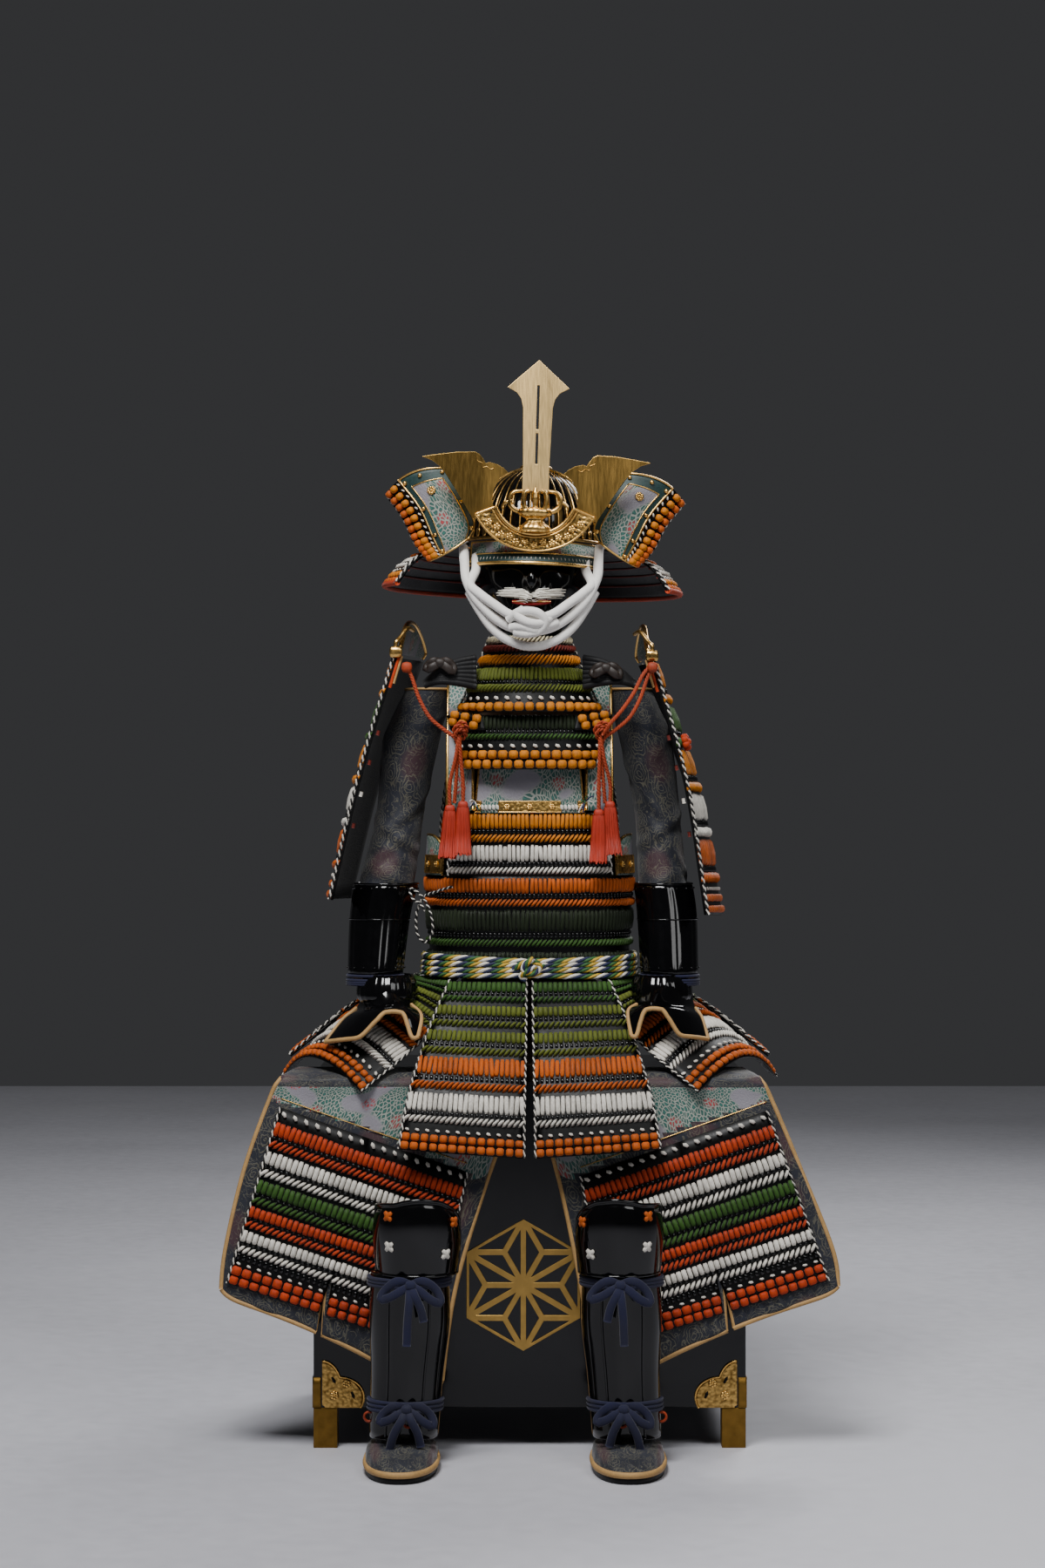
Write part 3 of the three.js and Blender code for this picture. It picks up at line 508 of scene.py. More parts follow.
def sums(tree, operation, *values, kind="Math"):
    """One step of arithmetic on numbers or vectors and sockets."""
    made = add(tree, kind, {"operation": operation})
    for socket, value in zip(made.inputs, values):
        feed(tree, socket, value)
    return made.outputs[0]


def blend(tree, factor, first, second):
    """A colour between two others: first at factor 0, second at 1."""
    made = add(tree, "Mix", {"data_type": "RGBA"})
    for number, value in ((0, factor), (6, first), (7, second)):
        feed(tree, made.inputs[number], value)
    return made.outputs[2]


def group(name, inputs, outputs):
    """An empty node group with named sockets, and its two end nodes."""
    tree = bpy.data.node_groups.new(name, "ShaderNodeTree")
    for label, kind, default in inputs:
        socket = tree.interface.new_socket(label, in_out="INPUT", socket_type="NodeSocket" + kind)
        socket.default_value = default
    for label, kind in outputs:
        tree.interface.new_socket(label, in_out="OUTPUT", socket_type="NodeSocket" + kind)
    return tree, tree.nodes.new("NodeGroupInput").outputs, tree.nodes.new("NodeGroupOutput").inputs


grain_tree, given, wanted = group(
    "grain",
    [
        ("Vector", "Vector", (0, 0, 0)),
        ("Scale", "Float", 200.0),
        ("Patch Scale", "Float", 12.0),
        ("Low", "Float", 0.4),
        ("High", "Float", 0.6),
    ],
    [("Tint", "Float"), ("Roughness", "Float"), ("Height", "Float")],
)
fine_grain = add(grain_tree, "TexNoise", Vector=given["Vector"], Scale=given["Scale"], Detail=3.0)
patches = add(grain_tree, "TexNoise", Vector=given["Vector"], Scale=given["Patch Scale"], Detail=2.0)
both_grains = sums(grain_tree, "ADD", fine_grain.outputs[0], patches.outputs[0])
tint = add(grain_tree, "MapRange", From_Min=0.7, From_Max=1.3, Value=both_grains)
spread = add(grain_tree, "MapRange", Value=tint.outputs[0], To_Min=given["Low"], To_Max=given["High"])
for label, socket in (("Tint", tint.outputs[0]), ("Roughness", spread.outputs[0]),
                      ("Height", fine_grain.outputs[0])):
    grain_tree.links.new(socket, wanted[label])


def material(name, code, rough, metallic=0.0, grain=300, patch=14, stretch=(1, 1, 1), vary=0.25, bump=0.25,
             depth=0.0006, paint=None, **constants):
    """A finish: its colour varied darker and lighter by grain, roughness between two values, and fine bump.
    paint(tree, cut, place, base) may turn the base colour into a pattern, and then gives a second height."""
    made = bpy.data.materials.new(name)
    finish_of[name] = made
    made.use_nodes = True
    tree = made.node_tree
    shader = tree.nodes["Principled BSDF"]
    place = add(tree, "TexCoord").outputs["Object"]
    moved = add(tree, "Mapping", Vector=place, Scale=stretch).outputs[0]
    low, high = rough if isinstance(rough, tuple) else (rough * 0.85, rough * 1.15)
    grains = add(tree, "Group", {"node_tree": grain_tree}, Vector=moved, Scale=grain, Patch_Scale=patch,
                 Low=low, High=high).outputs
    middle = np.array(colour(code))
    dark, light = middle * (1 - vary), middle * (1 + vary)
    dark[3] = light[3] = 1
    base = blend(tree, grains["Tint"], tuple(dark), tuple(np.minimum(light, 1)))
    height = grains["Height"]
    if paint:
        cut = add(tree, "UVMap", {"uv_map": "cut"}).outputs[0]
        base, extra = paint(tree, cut, moved, base)
        height = sums(tree, "ADD", sums(tree, "MULTIPLY", height, 0.4), extra)
    raised = add(tree, "Bump", Strength=bump, Distance=depth, Height=height)
    made_of = {"Base Color": base, "Roughness": grains["Roughness"], "Normal": raised.outputs[0],
               "Metallic": metallic}
    for label, value in {**made_of, **constants}.items():
        feed(tree, shader.inputs[label.replace("_", " ")], value)


# %% [markdown]
# Printed leather is pale doeskin with teal foliage of small leaf-shaped scales and a few red flowers.
# The scales are the cells of a Voronoi pattern on the piece's own cut, stretched to leaf shape.


# %% Patterns
def threshold(tree, value, low, high):
    """0 below low, 1 above high, and a ramp between."""
    return add(tree, "MapRange", Value=value, From_Min=low, From_Max=high).outputs[0]


def noise(tree, cut, scale, **how):
    """Flat noise on a piece's cut."""
    return add(tree, "TexNoise", {"noise_dimensions": "2D"}, Vector=cut, Scale=scale, **how).outputs


def flat_cells(tree, cut, scale, feature="F1", **how):
    """The distance in flat Voronoi cells on a piece's cut: from the centre, or from the cell's edge."""
    choice = {"feature": feature, "voronoi_dimensions": "2D"}
    return add(tree, "TexVoronoi", choice, Vector=cut, Scale=scale, **how).outputs["Distance"]


def leaf_print(tree, cut, place, base):
    """Teal leaf cells with pale outlines, clouds left bare, and red flowers on a wider grid."""
    warp = noise(tree, cut, 22.0)["Color"]
    warped = sums(tree, "MULTIPLY_ADD", warp, (0.016, 0.016, 0), cut, kind="VectorMath")
    leaf = add(tree, "Mapping", Vector=warped, Rotation=(0, 0, 0.5), Scale=(210, 118, 1)).outputs[0]
    from_edge = flat_cells(tree, leaf, 1.0, "DISTANCE_TO_EDGE")
    inside = threshold(tree, from_edge, 0.1, 0.2)
    clouds = noise(tree, cut, 17.0, Detail=0.5)[0]
    foliage = sums(tree, "SUBTRACT", 1.0, threshold(tree, clouds, 0.58, 0.62))
    teal = blend(tree, threshold(tree, from_edge, 0.2, 0.5), colour("#12403b"), colour("#2f6a60"))
    faded = blend(tree, threshold(tree, clouds, 0.56, 0.64), base, colour("#7d7a81"))
    drawn = blend(tree, sums(tree, "MULTIPLY", inside, foliage), faded, teal)
    petals = threshold(tree, flat_cells(tree, cut, 15.0, Randomness=0.7), 0.2, 0.12)
    veins = threshold(tree, from_edge, 0.12, 0.3)
    return blend(tree, sums(tree, "MULTIPLY", petals, veins), drawn, colour("#9c3338")), inside


def roundels(tree, cut, place, base):
    """Rings of fine gold thread round scattered centres, with scrolling lines between them."""
    from_centre = flat_cells(tree, cut, 22.0, Randomness=0.6)
    wobble = sums(tree, "MULTIPLY_ADD", noise(tree, cut, 60.0)[0], 0.35, from_centre)
    rings = sums(tree, "ABSOLUTE", sums(tree, "SINE", sums(tree, "MULTIPLY", wobble, 26.0)))
    rings = threshold(tree, rings, 0.5, 0.2)
    near = threshold(tree, from_centre, 0.46, 0.4)
    scroll = noise(tree, cut, 75.0, Detail=1.0, Distortion=1.2)[0]
    curls = threshold(tree, sums(tree, "ABSOLUTE", sums(tree, "SUBTRACT", scroll, 0.5)), 0.03, 0.012)
    thread = sums(tree, "MAXIMUM", sums(tree, "MULTIPLY", rings, near), sums(tree, "MULTIPLY", curls, 0.8))
    blush = threshold(tree, flat_cells(tree, cut, 9.0), 0.28, 0.16)
    ground = blend(tree, sums(tree, "MULTIPLY", blush, 0.65), base, colour("#3f1e24"))
    return blend(tree, sums(tree, "MULTIPLY", thread, 0.7), ground, colour("#5e5a4a")), thread


def carving(tree, cut, place, base):
    """Chased metal: rounded cells with dark valleys."""
    cells = add(tree, "TexVoronoi", {"feature": "SMOOTH_F1"}, Vector=place, Scale=210.0)
    hollow = threshold(tree, cells.outputs["Distance"], 0.35, 0.75)
    raised = sums(tree, "SUBTRACT", 1.0, cells.outputs["Distance"])
    return blend(tree, hollow, base, colour("#7a5c2c")), raised


# %% Finishes
material("black_lacquer", "#050506", (0.06, 0.14), grain=60, patch=6, vary=0.3, bump=0.03, Coat_Weight=0.25,
         Coat_Roughness=0.04, Specular_IOR_Level=0.3)
material("dull_lacquer", "#040404", (0.35, 0.55), grain=200, vary=0.4, bump=0.15, Specular_IOR_Level=0.2)
material("chest_lacquer", "#050507", (0.1, 0.22), grain=40, patch=3, vary=0.35, bump=0.03, Coat_Weight=0.15,
         Coat_Roughness=0.08, Specular_IOR_Level=0.3)
material("gold", "#dcb166", (0.22, 0.38), 1.0, grain=180, vary=0.18, bump=0.06)
material("brushed_gold", "#d3a95c", (0.3, 0.45), 1.0, grain=90, patch=7, stretch=(5, 1, 0.5), vary=0.08,
         bump=0.06, Anisotropic=0.5)
# A paler, brighter gold for the sword: painted light, because the lamp falls strongest at the top of the
# suit.
material("pale_gold", "#f0cd8c", (0.4, 0.55), 1.0, grain=90, patch=7, stretch=(6, 1, 0.4), vary=0.1,
         bump=0.08)
material("carved_gold", "#c9a25c", (0.3, 0.45), 1.0, grain=260, vary=0.2, bump=0.7, depth=0.0012,
         paint=carving)
material("dull_gold", "#c09b56", (0.4, 0.55), 1.0, grain=70, patch=5, vary=0.14, bump=0.08)
# A darker brass for the chest's legs and corner strips: painted shade, because they stand low in the chest's
# shadow.
material("old_brass", "#7d5f2c", (0.4, 0.6), 1.0, grain=70, patch=5, vary=0.3, bump=0.12)
material("stand_wood", "#4a3524", 0.6, grain=40, patch=5, stretch=(1, 1, 0.1), vary=0.4, bump=0.2)
silks = {
    "golden": "#b56a02",
    "orange": "#a84b00",
    "flame": "#a02f03",
    "white": "#c9c4ba",
    "olive": "#525a14",
    "green": "#2a4a12",
    "moss": "#121c05",
    "cream": "#b3a88c",
    "dark_red": "#5a160c",
    "black": "#0b0b0d",
}
for label, code in silks.items():
    material("silk_" + label, code, (0.55, 0.8), grain=520, patch=24, stretch=(1, 1, 0.22), vary=0.32,
             bump=0.55, depth=0.0008, Sheen_Weight=0.06, Sheen_Roughness=0.4, Specular_IOR_Level=0.3)
material("navy_cloth", "#04082a", (0.75, 0.95), grain=700, vary=0.35, bump=0.5, Sheen_Weight=0.1)
material("white_cotton", "#e4e1dc", (0.8, 0.95), grain=420, patch=30, vary=0.07, bump=0.45, depth=0.0009,
         Sheen_Weight=0.3)
material("orange_cord", "#933002", (0.6, 0.8), grain=600, stretch=(1, 1, 0.5), vary=0.3, bump=0.5)
material("tassel_silk", "#941f00", (0.5, 0.7), grain=700, stretch=(1, 1, 0.08), vary=0.3, bump=0.6)
material("tan_leather", "#a98450", (0.6, 0.8), grain=300, patch=40, vary=0.16, bump=0.35)
material("brown_leather", "#1d130d", (0.45, 0.65), grain=260, vary=0.35, bump=0.35)
material("teal_leather", "#14302f", (0.45, 0.6), grain=320, patch=30, vary=0.25, bump=0.3)
material("printed_leather", "#8a8f86", (0.5, 0.65), grain=420, patch=30, vary=0.16, bump=0.3,
         paint=leaf_print)
material("floor_grey", "#b9b9c0", (0.45, 0.6), grain=30, patch=2, vary=0.03, bump=0.03)
material("brocade", "#0c111f", (0.55, 0.75), grain=600, patch=20, vary=0.3, bump=0.5, paint=roundels,
         Sheen_Weight=0.2)
material("black_felt", "#040405", (0.85, 1.0), grain=420, vary=0.5, bump=1.0, depth=0.002,
         Specular_IOR_Level=0.2)
material("white_hair", "#ddd8cd", (0.5, 0.7), grain=600, stretch=(0.1, 1, 1), vary=0.12, bump=0.3)
material("lip_red", "#8f1418", (0.2, 0.3), grain=120, vary=0.15, bump=0.05, Coat_Weight=0.5)
for label, code in {"w": "#dcd7ca", "y": "#b5942c", "g": "#2f5a2c", "n": "#1c2344"}.items():
    material("belt_" + label, code, (0.65, 0.85), grain=600, vary=0.25, bump=0.5)
print(len(finish_of), "finishes")

# %% [markdown]
# Laced rows are the suit's cloth. Each panel is a black board of lacquered scales. Silk braids stand on it
# side by side in upright rows, and a thick twisted braid lies along each row's lower edge. Every braid is a
# small rounded tube of its own, copied along the row by array, with a little unevenness from braid to braid.


# %% Lacing
BEAD = pillow(8, 4, 0.55)
DOT = pillow(5, 2, 1.0)
KNOT_FORMS = {
    "v": half_pillow(8, 0.5),
    "t": half_pillow(6, 0.85, ((0.6, 0.8), (1.0, 0.0))),
    "g": half_pillow(4, 0.6),
    "b": half_pillow(8, 0.55, ((0.6, 0.88), (0.94, 0.5), (1.0, 0.0))),
    "d": DOT,
}
TWIST = math.radians(42)


def studs(surface, u, v, lift, size, form=BEAD, shear=0.0):
    """Small forms on a surface, raised by lift; shear leans each one's first axis towards its second."""
    across, down, normal = frames_on(surface, u, v)
    basis = np.stack([across + shear * down, down, normal], 1)
    return placed(*form, surface(u, v) + normal * lift, basis, size)


def knot(centre, size):
    """One knot at a point, on the world's axes."""
    return placed(*BEAD, np.array([centre]), np.eye(3)[None], [size])


def flower(centre, frame, petals, radius, petal, heart, lifts, start=0.0):
    """Petals round a heart: centre + radius (cos a across + sin a down), raised by the two lifts."""
    across, down, normal = frame
    turn = np.arange(petals) * 2 * math.pi / petals + start
    turn = turn[:, None]
    ring = centre + normal * lifts[0] + radius * (np.cos(turn) * across + np.sin(turn) * down)
    basis = np.broadcast_to(np.stack([across, down, normal]), (petals + 1, 3, 3))
    return placed(*BEAD, np.vstack([ring, centre + normal * lifts[1]]), basis, [petal] * petals + [heart])


def laced(
    name, surface, bands, braid=0.0072, wall=0.005, rise=0.005, base=0.002, around=False, lining=None,
    edges=(0, 1), bead=0.0125, node=True, bead_rise=0.0035, edge_size=0.0026,
):
    """A laced panel. bands are (kind, silk, height): v upright braids, t twisted braid, g glossy scale tips,
    k bare board, d white dots, b beads. Knots of pitch p stand at u = (k + 1/2) p / width along each band.
    A twisted braid is a row of slanting strands, at 42 degrees from upright, one to a braid."""
    heights = np.array([band[2] for band in bands], float)
    tops = np.concatenate([[0], np.cumsum(heights)]) / heights.sum()
    _, width = even(surface, 8)
    cells = (max(int(width / 0.012), 6), 14)
    obj = shell(name + "_boards", surface, cells, wall, "dull_lacquer", relief=-base, around=around,
                lining=lining, nodes=(name,) if node else ())
    pitches = {"v": braid, "g": braid, "t": braid * 1.02, "b": bead, "d": bead * 1.08}
    parts, labels = [], []
    for k, (kind, silk, _) in enumerate(bands):
        if kind == "k":
            continue
        middle = (tops[k] + tops[k + 1]) / 2
        _, run = even(surface, 8, middle)
        pitch = run / max(int(run / pitches[kind]), 2)
        spots, _ = even(surface, round(run / pitch), middle)
        spots = (spots[:-1] + spots[1:]) / 2
        across, down, normal = frames_on(surface, spots, middle)
        height = np.linalg.norm(surface(spots, tops[k + 1]) - surface(spots, tops[k]), axis=-1)
        uneven = 1 + rng.normal(0, 0.045, (len(spots), 3))
        tilt = rng.normal(0, 0.035, (len(spots), 1)) * (kind in "vt") + TWIST * (kind == "t")
        cos, sin = np.cos(tilt), np.sin(tilt)
        across, down = across * cos + down * sin, down * cos - across * sin
        sizes = {
            "v": (pitch * 0.49, height * 0.52, rise),
            "t": (pitch * 0.34, height * 0.68, rise * 1.25),
            "g": (pitch * 0.4, height * 0.5, rise * 0.45),
            "b": (pitch * 0.45, np.minimum(height * 0.46, pitch * 0.42), bead_rise * 1.5),
            "d": (pitch * 0.26, np.maximum(height * 0.3, 0.0016), 0.0016),
        }[kind]
        sizes = np.stack(np.broadcast_arrays(*sizes), -1)
        if kind == "d":
            down = down + across * 0.5
        low = 0.0004 if kind == "d" else -base * 0.9
        frames = np.stack([across, down, normal], 1)
        parts.append(placed(*KNOT_FORMS[kind], surface(spots, middle) + normal * low, frames, sizes * uneven))
        labels.append({"g": "black_lacquer", "d": "silk_white"}.get(kind, "silk_" + silk))
    kinds = sorted(set(labels))
    points, faces, owner = join(parts)
    numbers = np.array([kinds.index(label) for label in labels])[owner]
    made = [make(name + "_knots", points, faces, kinds, numbers, slot="silk_lacing")]
    trims, colours = [], []
    for edge in edges:
        path = line(surface(float(edge), np.linspace(0, 1, 24)), 0.0036)
        at = np.linspace(0, 1, len(path))
        path = path + frames_on(surface, float(edge), at)[2] * 0.0008
        trims += rope(path, edge_size, 2, 0.013, 4, up=frames_on(surface, float(edge), at)[2])
        colours += [0, 1]
    if trims:
        made.append(tubes(name + "_edge", trims, ["silk_white", "silk_black"], colours))
    for piece in made:
        piece.parent = obj
    return obj


print("lacing ready:", len(BEAD[0]), "points to a bead")

# %% [markdown]
# The chest, the crest and the fittings are hard pieces whose CAD shape is already right. Each is copied,
# its doubled corners are merged, and a small bevel breaks the edges so that they catch the light.


# %% Hard pieces from the CAD
IRON_WALL, THIN_IRON_WALL = 0.003, 0.0025
MERGE_WITHIN, SHARPER_THAN = 0.00005, 35


def bevelled(node, finish, width):
    """A copy of a CAD node with merged corners and a bevel of the given width."""
    source = frame["nodes"][node]
    copied = bpy.data.objects.new(node + "_made", source.data.copy())
    bpy.context.collection.objects.link(copied)
    copied.data.materials.clear()
    copied.data.materials.append(finish_of[finish])
    soft = copied.modifiers.new("merge", "WELD")
    soft.merge_threshold = MERGE_WITHIN
    edge = copied.modifiers.new("edge", "BEVEL")
    edge.width = width
    edge.segments = 2
    edge.limit_method = "ANGLE"
    edge.angle_limit = math.radians(SHARPER_THAN)
    edge.harden_normals = False
    copied.data.shade_flat()
    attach(copied, BODY)
    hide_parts(node)


print("hard pieces ready")

# %% [markdown]
# The cuirass is a laced ring round the trunk with a laced front and back above it.
# All of them lie on one table of sections, read straight between its rows.

# %% Cuirass
TORSO_POWER = 2.5
BODY_Y = 60
torso = np.array([[1190, 138, 105], [1078, 152, 120], [1003, 165, 128], [904, 171, 130], [780, 165, 120],
                  [744, 167, 119]])


def torso_panel(heights, start, end, outset=0.0):
    """The trunk's own surface between two angles, moved out by outset millimetres."""
    rows = []
    for z in heights:
        across, deep = (np.interp(-z, -torso[:, 0], torso[:, k]) + outset for k in (1, 2))
        rows.append([z, 0, BODY_Y, across, deep, start, end])
    return round_surface(rows, TORSO_POWER)


front_bands = [("v", "golden", 17.5), ("g", "", 5.5), ("t", "golden", 9.5), ("k", "", 3),
               ("v", "white", 18.5), ("g", "", 5.5), ("t", "white", 8.5), ("k", "", 2)]
wrap_bands = [("k", "", 2.5), ("v", "orange", 17), ("g", "", 6), ("t", "orange", 8.5), ("k", "", 3),
              ("v", "moss", 17), ("g", "", 5), ("t", "green", 7), ("k", "", 4), ("v", "moss", 16),
              ("g", "", 5), ("t", "moss", 6), ("v", "moss", 10)]
back_bands = [("k", "", 3)] + [
    (kind, silk, size) for silk in ("green", "olive", "orange", "white")
    for kind, size in (("v", 24), ("g", 5), ("t", 12))] + front_bands
laced("cuirass_wrap", torso_panel([903, 850, 780, 744], -180, 180), wrap_bands, 0.007, around=True, edges=())
laced("cuirass_front", torso_panel([1003, 953, 903.3], -46, 46), front_bands, 0.007)
laced("cuirass_back", torso_panel([1190, 1100, 1003, 903.3], 122, 238), back_bands, 0.0068)

# %% [markdown]
# The throat guard and the gorget are two laced bibs. Their rows hang as shallow arcs and end in beads.

# %% Throat guard and gorget
throat = round_surface([[1288, 0, 8, 64, 73, -80, 80], [1222, 0, 8, 93, 88, -77, 77],
                        [1166, 0, 8, 121, 106, -72, 72]])
gorget = round_surface([[1160, 0, 20, 150, 98, -60, 60], [1118, 0, 20, 148, 108, -53, 53],
                        [1074, 0, 20, 145, 116, -45, 45]])
throat_bands = [("t", "cream", 8), ("t", "dark_red", 7), ("k", "", 2), ("t", "golden", 10), ("k", "", 2),
                ("v", "olive", 13), ("g", "", 3), ("t", "olive", 10), ("k", "", 2), ("d", "", 9),
                ("b", "golden", 10)]
gorget_bands = [("v", "moss", 18), ("g", "", 4), ("t", "green", 8), ("k", "", 3), ("d", "", 9),
                ("b", "golden", 11), ("b", "golden", 11)]
laced("throat_guard", throat, throat_bands, 0.0066, bead=0.0165, bead_rise=0.006)
laced("gorget", gorget, gorget_bands, 0.0066, bead=0.0165, bead_rise=0.006)
side_beads = np.array([[0.08, 0.0], [0.15, 0.04], [0.22, 0.08], [0.05, 0.13], [0.12, 0.17], [0.19, 0.21]])
side_beads = np.vstack([side_beads, side_beads * [-1, 1] + [1, 0]])
make("gorget_side_beads", *studs(gorget, *side_beads.T, 0.007, [0.0074, 0.0068, 0.006]), "silk_golden")
for side, ends in (("left", (0.0, 0.25)), ("right", (0.75, 1.0))):
    shell(f"gorget_side_{side}_board", moved_out(part_of(gorget, *ends, 0.0, 0.3), 0.004), (10, 6), 0.002,
          "dull_lacquer")

# %% [markdown]
# The skirts hang from the belt in flaring panels, all laced in one order of colours from green to white,
# and closed at the hem by two rows of orange beads.

# %% Skirts
skirt_bands = [("k", "", 1), ("v", "green", 13), ("g", "", 4), ("t", "green", 9), ("k", "", 4),
               ("v", "olive", 13), ("g", "", 5), ("t", "olive", 9), ("k", "", 4), ("v", "olive", 13),
               ("g", "", 5), ("t", "olive", 9), ("k", "", 2), ("v", "orange", 19), ("g", "", 6),
               ("t", "orange", 10), ("k", "", 3), ("v", "white", 22), ("g", "", 5), ("t", "white", 10),
               ("k", "", 6), ("d", "", 8), ("b", "orange", 11), ("b", "orange", 11)]
front_skirt = [
    [[128, -56, 736], [5, -72, 736], [0, -4, 0]],
    [[162, -98, 655], [6, -106, 649], [0, -5, 0]],
    [[190, -158, 562], [8, -164, 553], [0, -6, 0]],
    [[204, -190, 482], [9, -194, 468], [0, -6, 0]],
]
side_skirt = [
    [[186, 112, 736], [126, -44, 736], [12, -6, 0]],
    [[292, 96, 676], [166, -84, 650], [12, -12, 30]],
    [[404, 46, 574], [264, -158, 568], [10, -12, 46]],
]
back_side_skirt = [
    [[112, 188, 736], [184, 122, 736], [8, 8, 0]],
    [[176, 262, 668], [290, 132, 688], [8, 8, 12]],
    [[262, 330, 600], [396, 108, 604], [8, 8, 26]],
]
back_skirt = [
    [[-104, 189, 736], [104, 189, 736], [0, 6, 0]],
    [[-140, 268, 664], [140, 268, 664], [0, 6, 6]],
    [[-172, 368, 594], [172, 368, 594], [0, 4, 10]],
]
for side in both_sides:
    for label, table in (("front_skirt", front_skirt), ("side_skirt", side_skirt),
                         ("back_skirt", back_side_skirt)):
        laced(f"{label}_{side}", side_piece(table, side), skirt_bands, 0.0078, bead=0.0145, bead_rise=0.0045)
laced("back_skirt_middle", side_piece(back_skirt, "left"), skirt_bands, 0.0078, bead=0.0145, bead_rise=0.0045)

# %% Shoulder guards
shoulder_rows = {
    "left": [
        [[184, 232, 1258], [216, -50, 1258], [14, 0, 0]],
        [[254, 242, 1062], [274, -62, 1060], [18, 0, 0]],
        [[306, 250, 858], [319, -72, 866], [16, 0, 0]],
    ],
    "right": [
        [[190, 232, 1252], [198, -50, 1252], [12, 0, 0]],
        [[270, 240, 1046], [252, -62, 1050], [18, 0, 0]],
        [[318, 250, 830], [284, -72, 842], [18, 0, 0]],
    ],
}
shoulder_bands = [("k", "", 4)]
for silk in ("golden", "green", "golden", "white", "orange"):
    shoulder_bands += [("v", silk, 30), ("g", "", 8), ("t", silk, 12), ("k", "", 3)]
shoulder_bands += [("d", "", 8), ("b", "orange", 13), ("b", "orange", 13)]
for side in both_sides:
    surface = side_piece(shoulder_rows[side], side)
    laced(f"shoulder_guard_{side}", surface, shoulder_bands, 0.008, wall=0.006, bead=0.0145,
          lining="black_felt", edge_size=0.003)

# %% [markdown]
# The helmet leans a little to one side, as the CAD has it. Its pieces are worked out upright on their tables,
# and one function then turns them about the helmet's own pivot.

# %% Helmet
LEAN = 0.03
PIVOT = np.array([0.007, 0.0, 1.440])
HEAD_Y = 62


def tipped(points):
    """Points turned by the lean about the pivot, and moved with the helmet to the right."""
    x, y, z = np.moveaxis(np.asarray(points, float) - [0, 0, PIVOT[2]], -1, 0)
    cos, sin = math.cos(LEAN), math.sin(LEAN)
    leaned = np.stack([x * cos + z * sin, y, z * cos - x * sin], -1)
    return leaned + PIVOT


def on_helmet(surface):
    """A surface carried to the helmet's place."""
    return lambda u, v: tipped(surface(u, v))


bowl = on_helmet(round_surface([
    [1566, 0, HEAD_Y + 6, 18, 20, -180, 180],
    [1556, 0, HEAD_Y + 4, 44, 52, -180, 180],
    [1532, 0, HEAD_Y + 2, 80, 96, -180, 180],
    [1492, 0, HEAD_Y, 104, 124, -180, 180],
    [1440, 0, HEAD_Y, 112, 132, -180, 180],
]))
RIBS = 44
ribs_across = 4 * RIBS
wave = np.cos(np.linspace(0, 2 * math.pi * RIBS, ribs_across + 1)) * 0.0006
shell("bowl", bowl, (ribs_across, 16), IRON_WALL, "black_lacquer", relief=wave, around=True,
      lining="dull_lacquer", nodes=("helmet_bowl",))
rib_lines = []
for k in range(RIBS):
    along = np.linspace(0.02, 0.985, 20)
    place = (k + 0.5) / RIBS
    path = bowl(place, along) + frames_on(bowl, place, along)[2] * 0.0012
    rib_lines.append(tube(path, np.linspace(0.0008, 0.0014, 20), 5, up=frames_on(bowl, place, along)[2],
                          flat=1.3))
tubes("bowl_ribs", rib_lines, "gold")
crown_ring = round_surface([[1563, 0, HEAD_Y + 6, 27, 29, -180, 180],
                            [1570, 0, HEAD_Y + 6, 24, 26, -180, 180],
                            [1571, 0, HEAD_Y + 6, 15, 17, -180, 180],
                            [1564, 0, HEAD_Y + 6, 12, 14, -180, 180]])
petals = np.cos(np.linspace(0, 2 * math.pi * 12, 97))[None] * np.array([1, 0.6, 0.2, 0, 0])[:, None] * 0.0014
shell("bowl_crown_ring", on_helmet(lambda u, v: crown_ring(u, 1 - v)), (96, 4), 0.001, "carved_gold",
      around=True, relief=-petals[::-1])
base_ring = line(bowl(np.linspace(0, 1, 120), 0.985), 0.004)
out_way = base_ring - np.array([PIVOT[0], HEAD_Y * MM, 0])
out_way[:, 2] = 0
base_ring = base_ring + unit(out_way) * 0.0015
tubes("bowl_base_ring", [tube(base_ring, 0.0028, 6, (0, 0, 1), closed=True)], "carved_gold")
spots = middles(RIBS)
make("bowl_leaf_plates", *studs(bowl, spots, 0.94, 0.002, [0.0045, 0.0075, 0.002]), "gold")

# The visor: printed leather, a gold line, a teal band and a rolled gold rim.
visor = on_helmet(round_surface([[1437, 0, HEAD_Y, 113, 134, -62, 62], [1422, 0, HEAD_Y, 115, 156, -61, 61],
                                 [1400, 0, HEAD_Y, 117, 172, -60, 60]]))
bands_down = np.where(np.arange(20) < 13, 0, 1)[:, None]
shell("visor_skin", visor, (60, 20), 0.003, ["printed_leather", "teal_leather"], bands_down, "dull_lacquer",
      nodes=("helmet_visor",))


def edge_tube(surface, fixed, radius, across=True, ends=(0, 1), out=0.0, sides=8, flat=1.0, count=60):
    """A tube along u at a fixed v, or along v at a fixed u, raised from the surface by out."""
    along = np.linspace(*ends, count)
    u, v = (along, np.full(count, fixed)) if across else (np.full(count, fixed), along)
    normal = frames_on(surface, u, v)[2]
    return tube(surface(u, v) + normal * out, radius, sides, up=normal, flat=flat)


def edge_tubes(surface, sides, radius, **how):
    """Edge tubes on the chosen sides: t top, b bottom, l left, r right."""
    choices = {"t": (0.0, True), "b": (1.0, True), "l": (0.0, False), "r": (1.0, False)}
    return [edge_tube(surface, choices[k][0], radius, choices[k][1], **how) for k in sides]


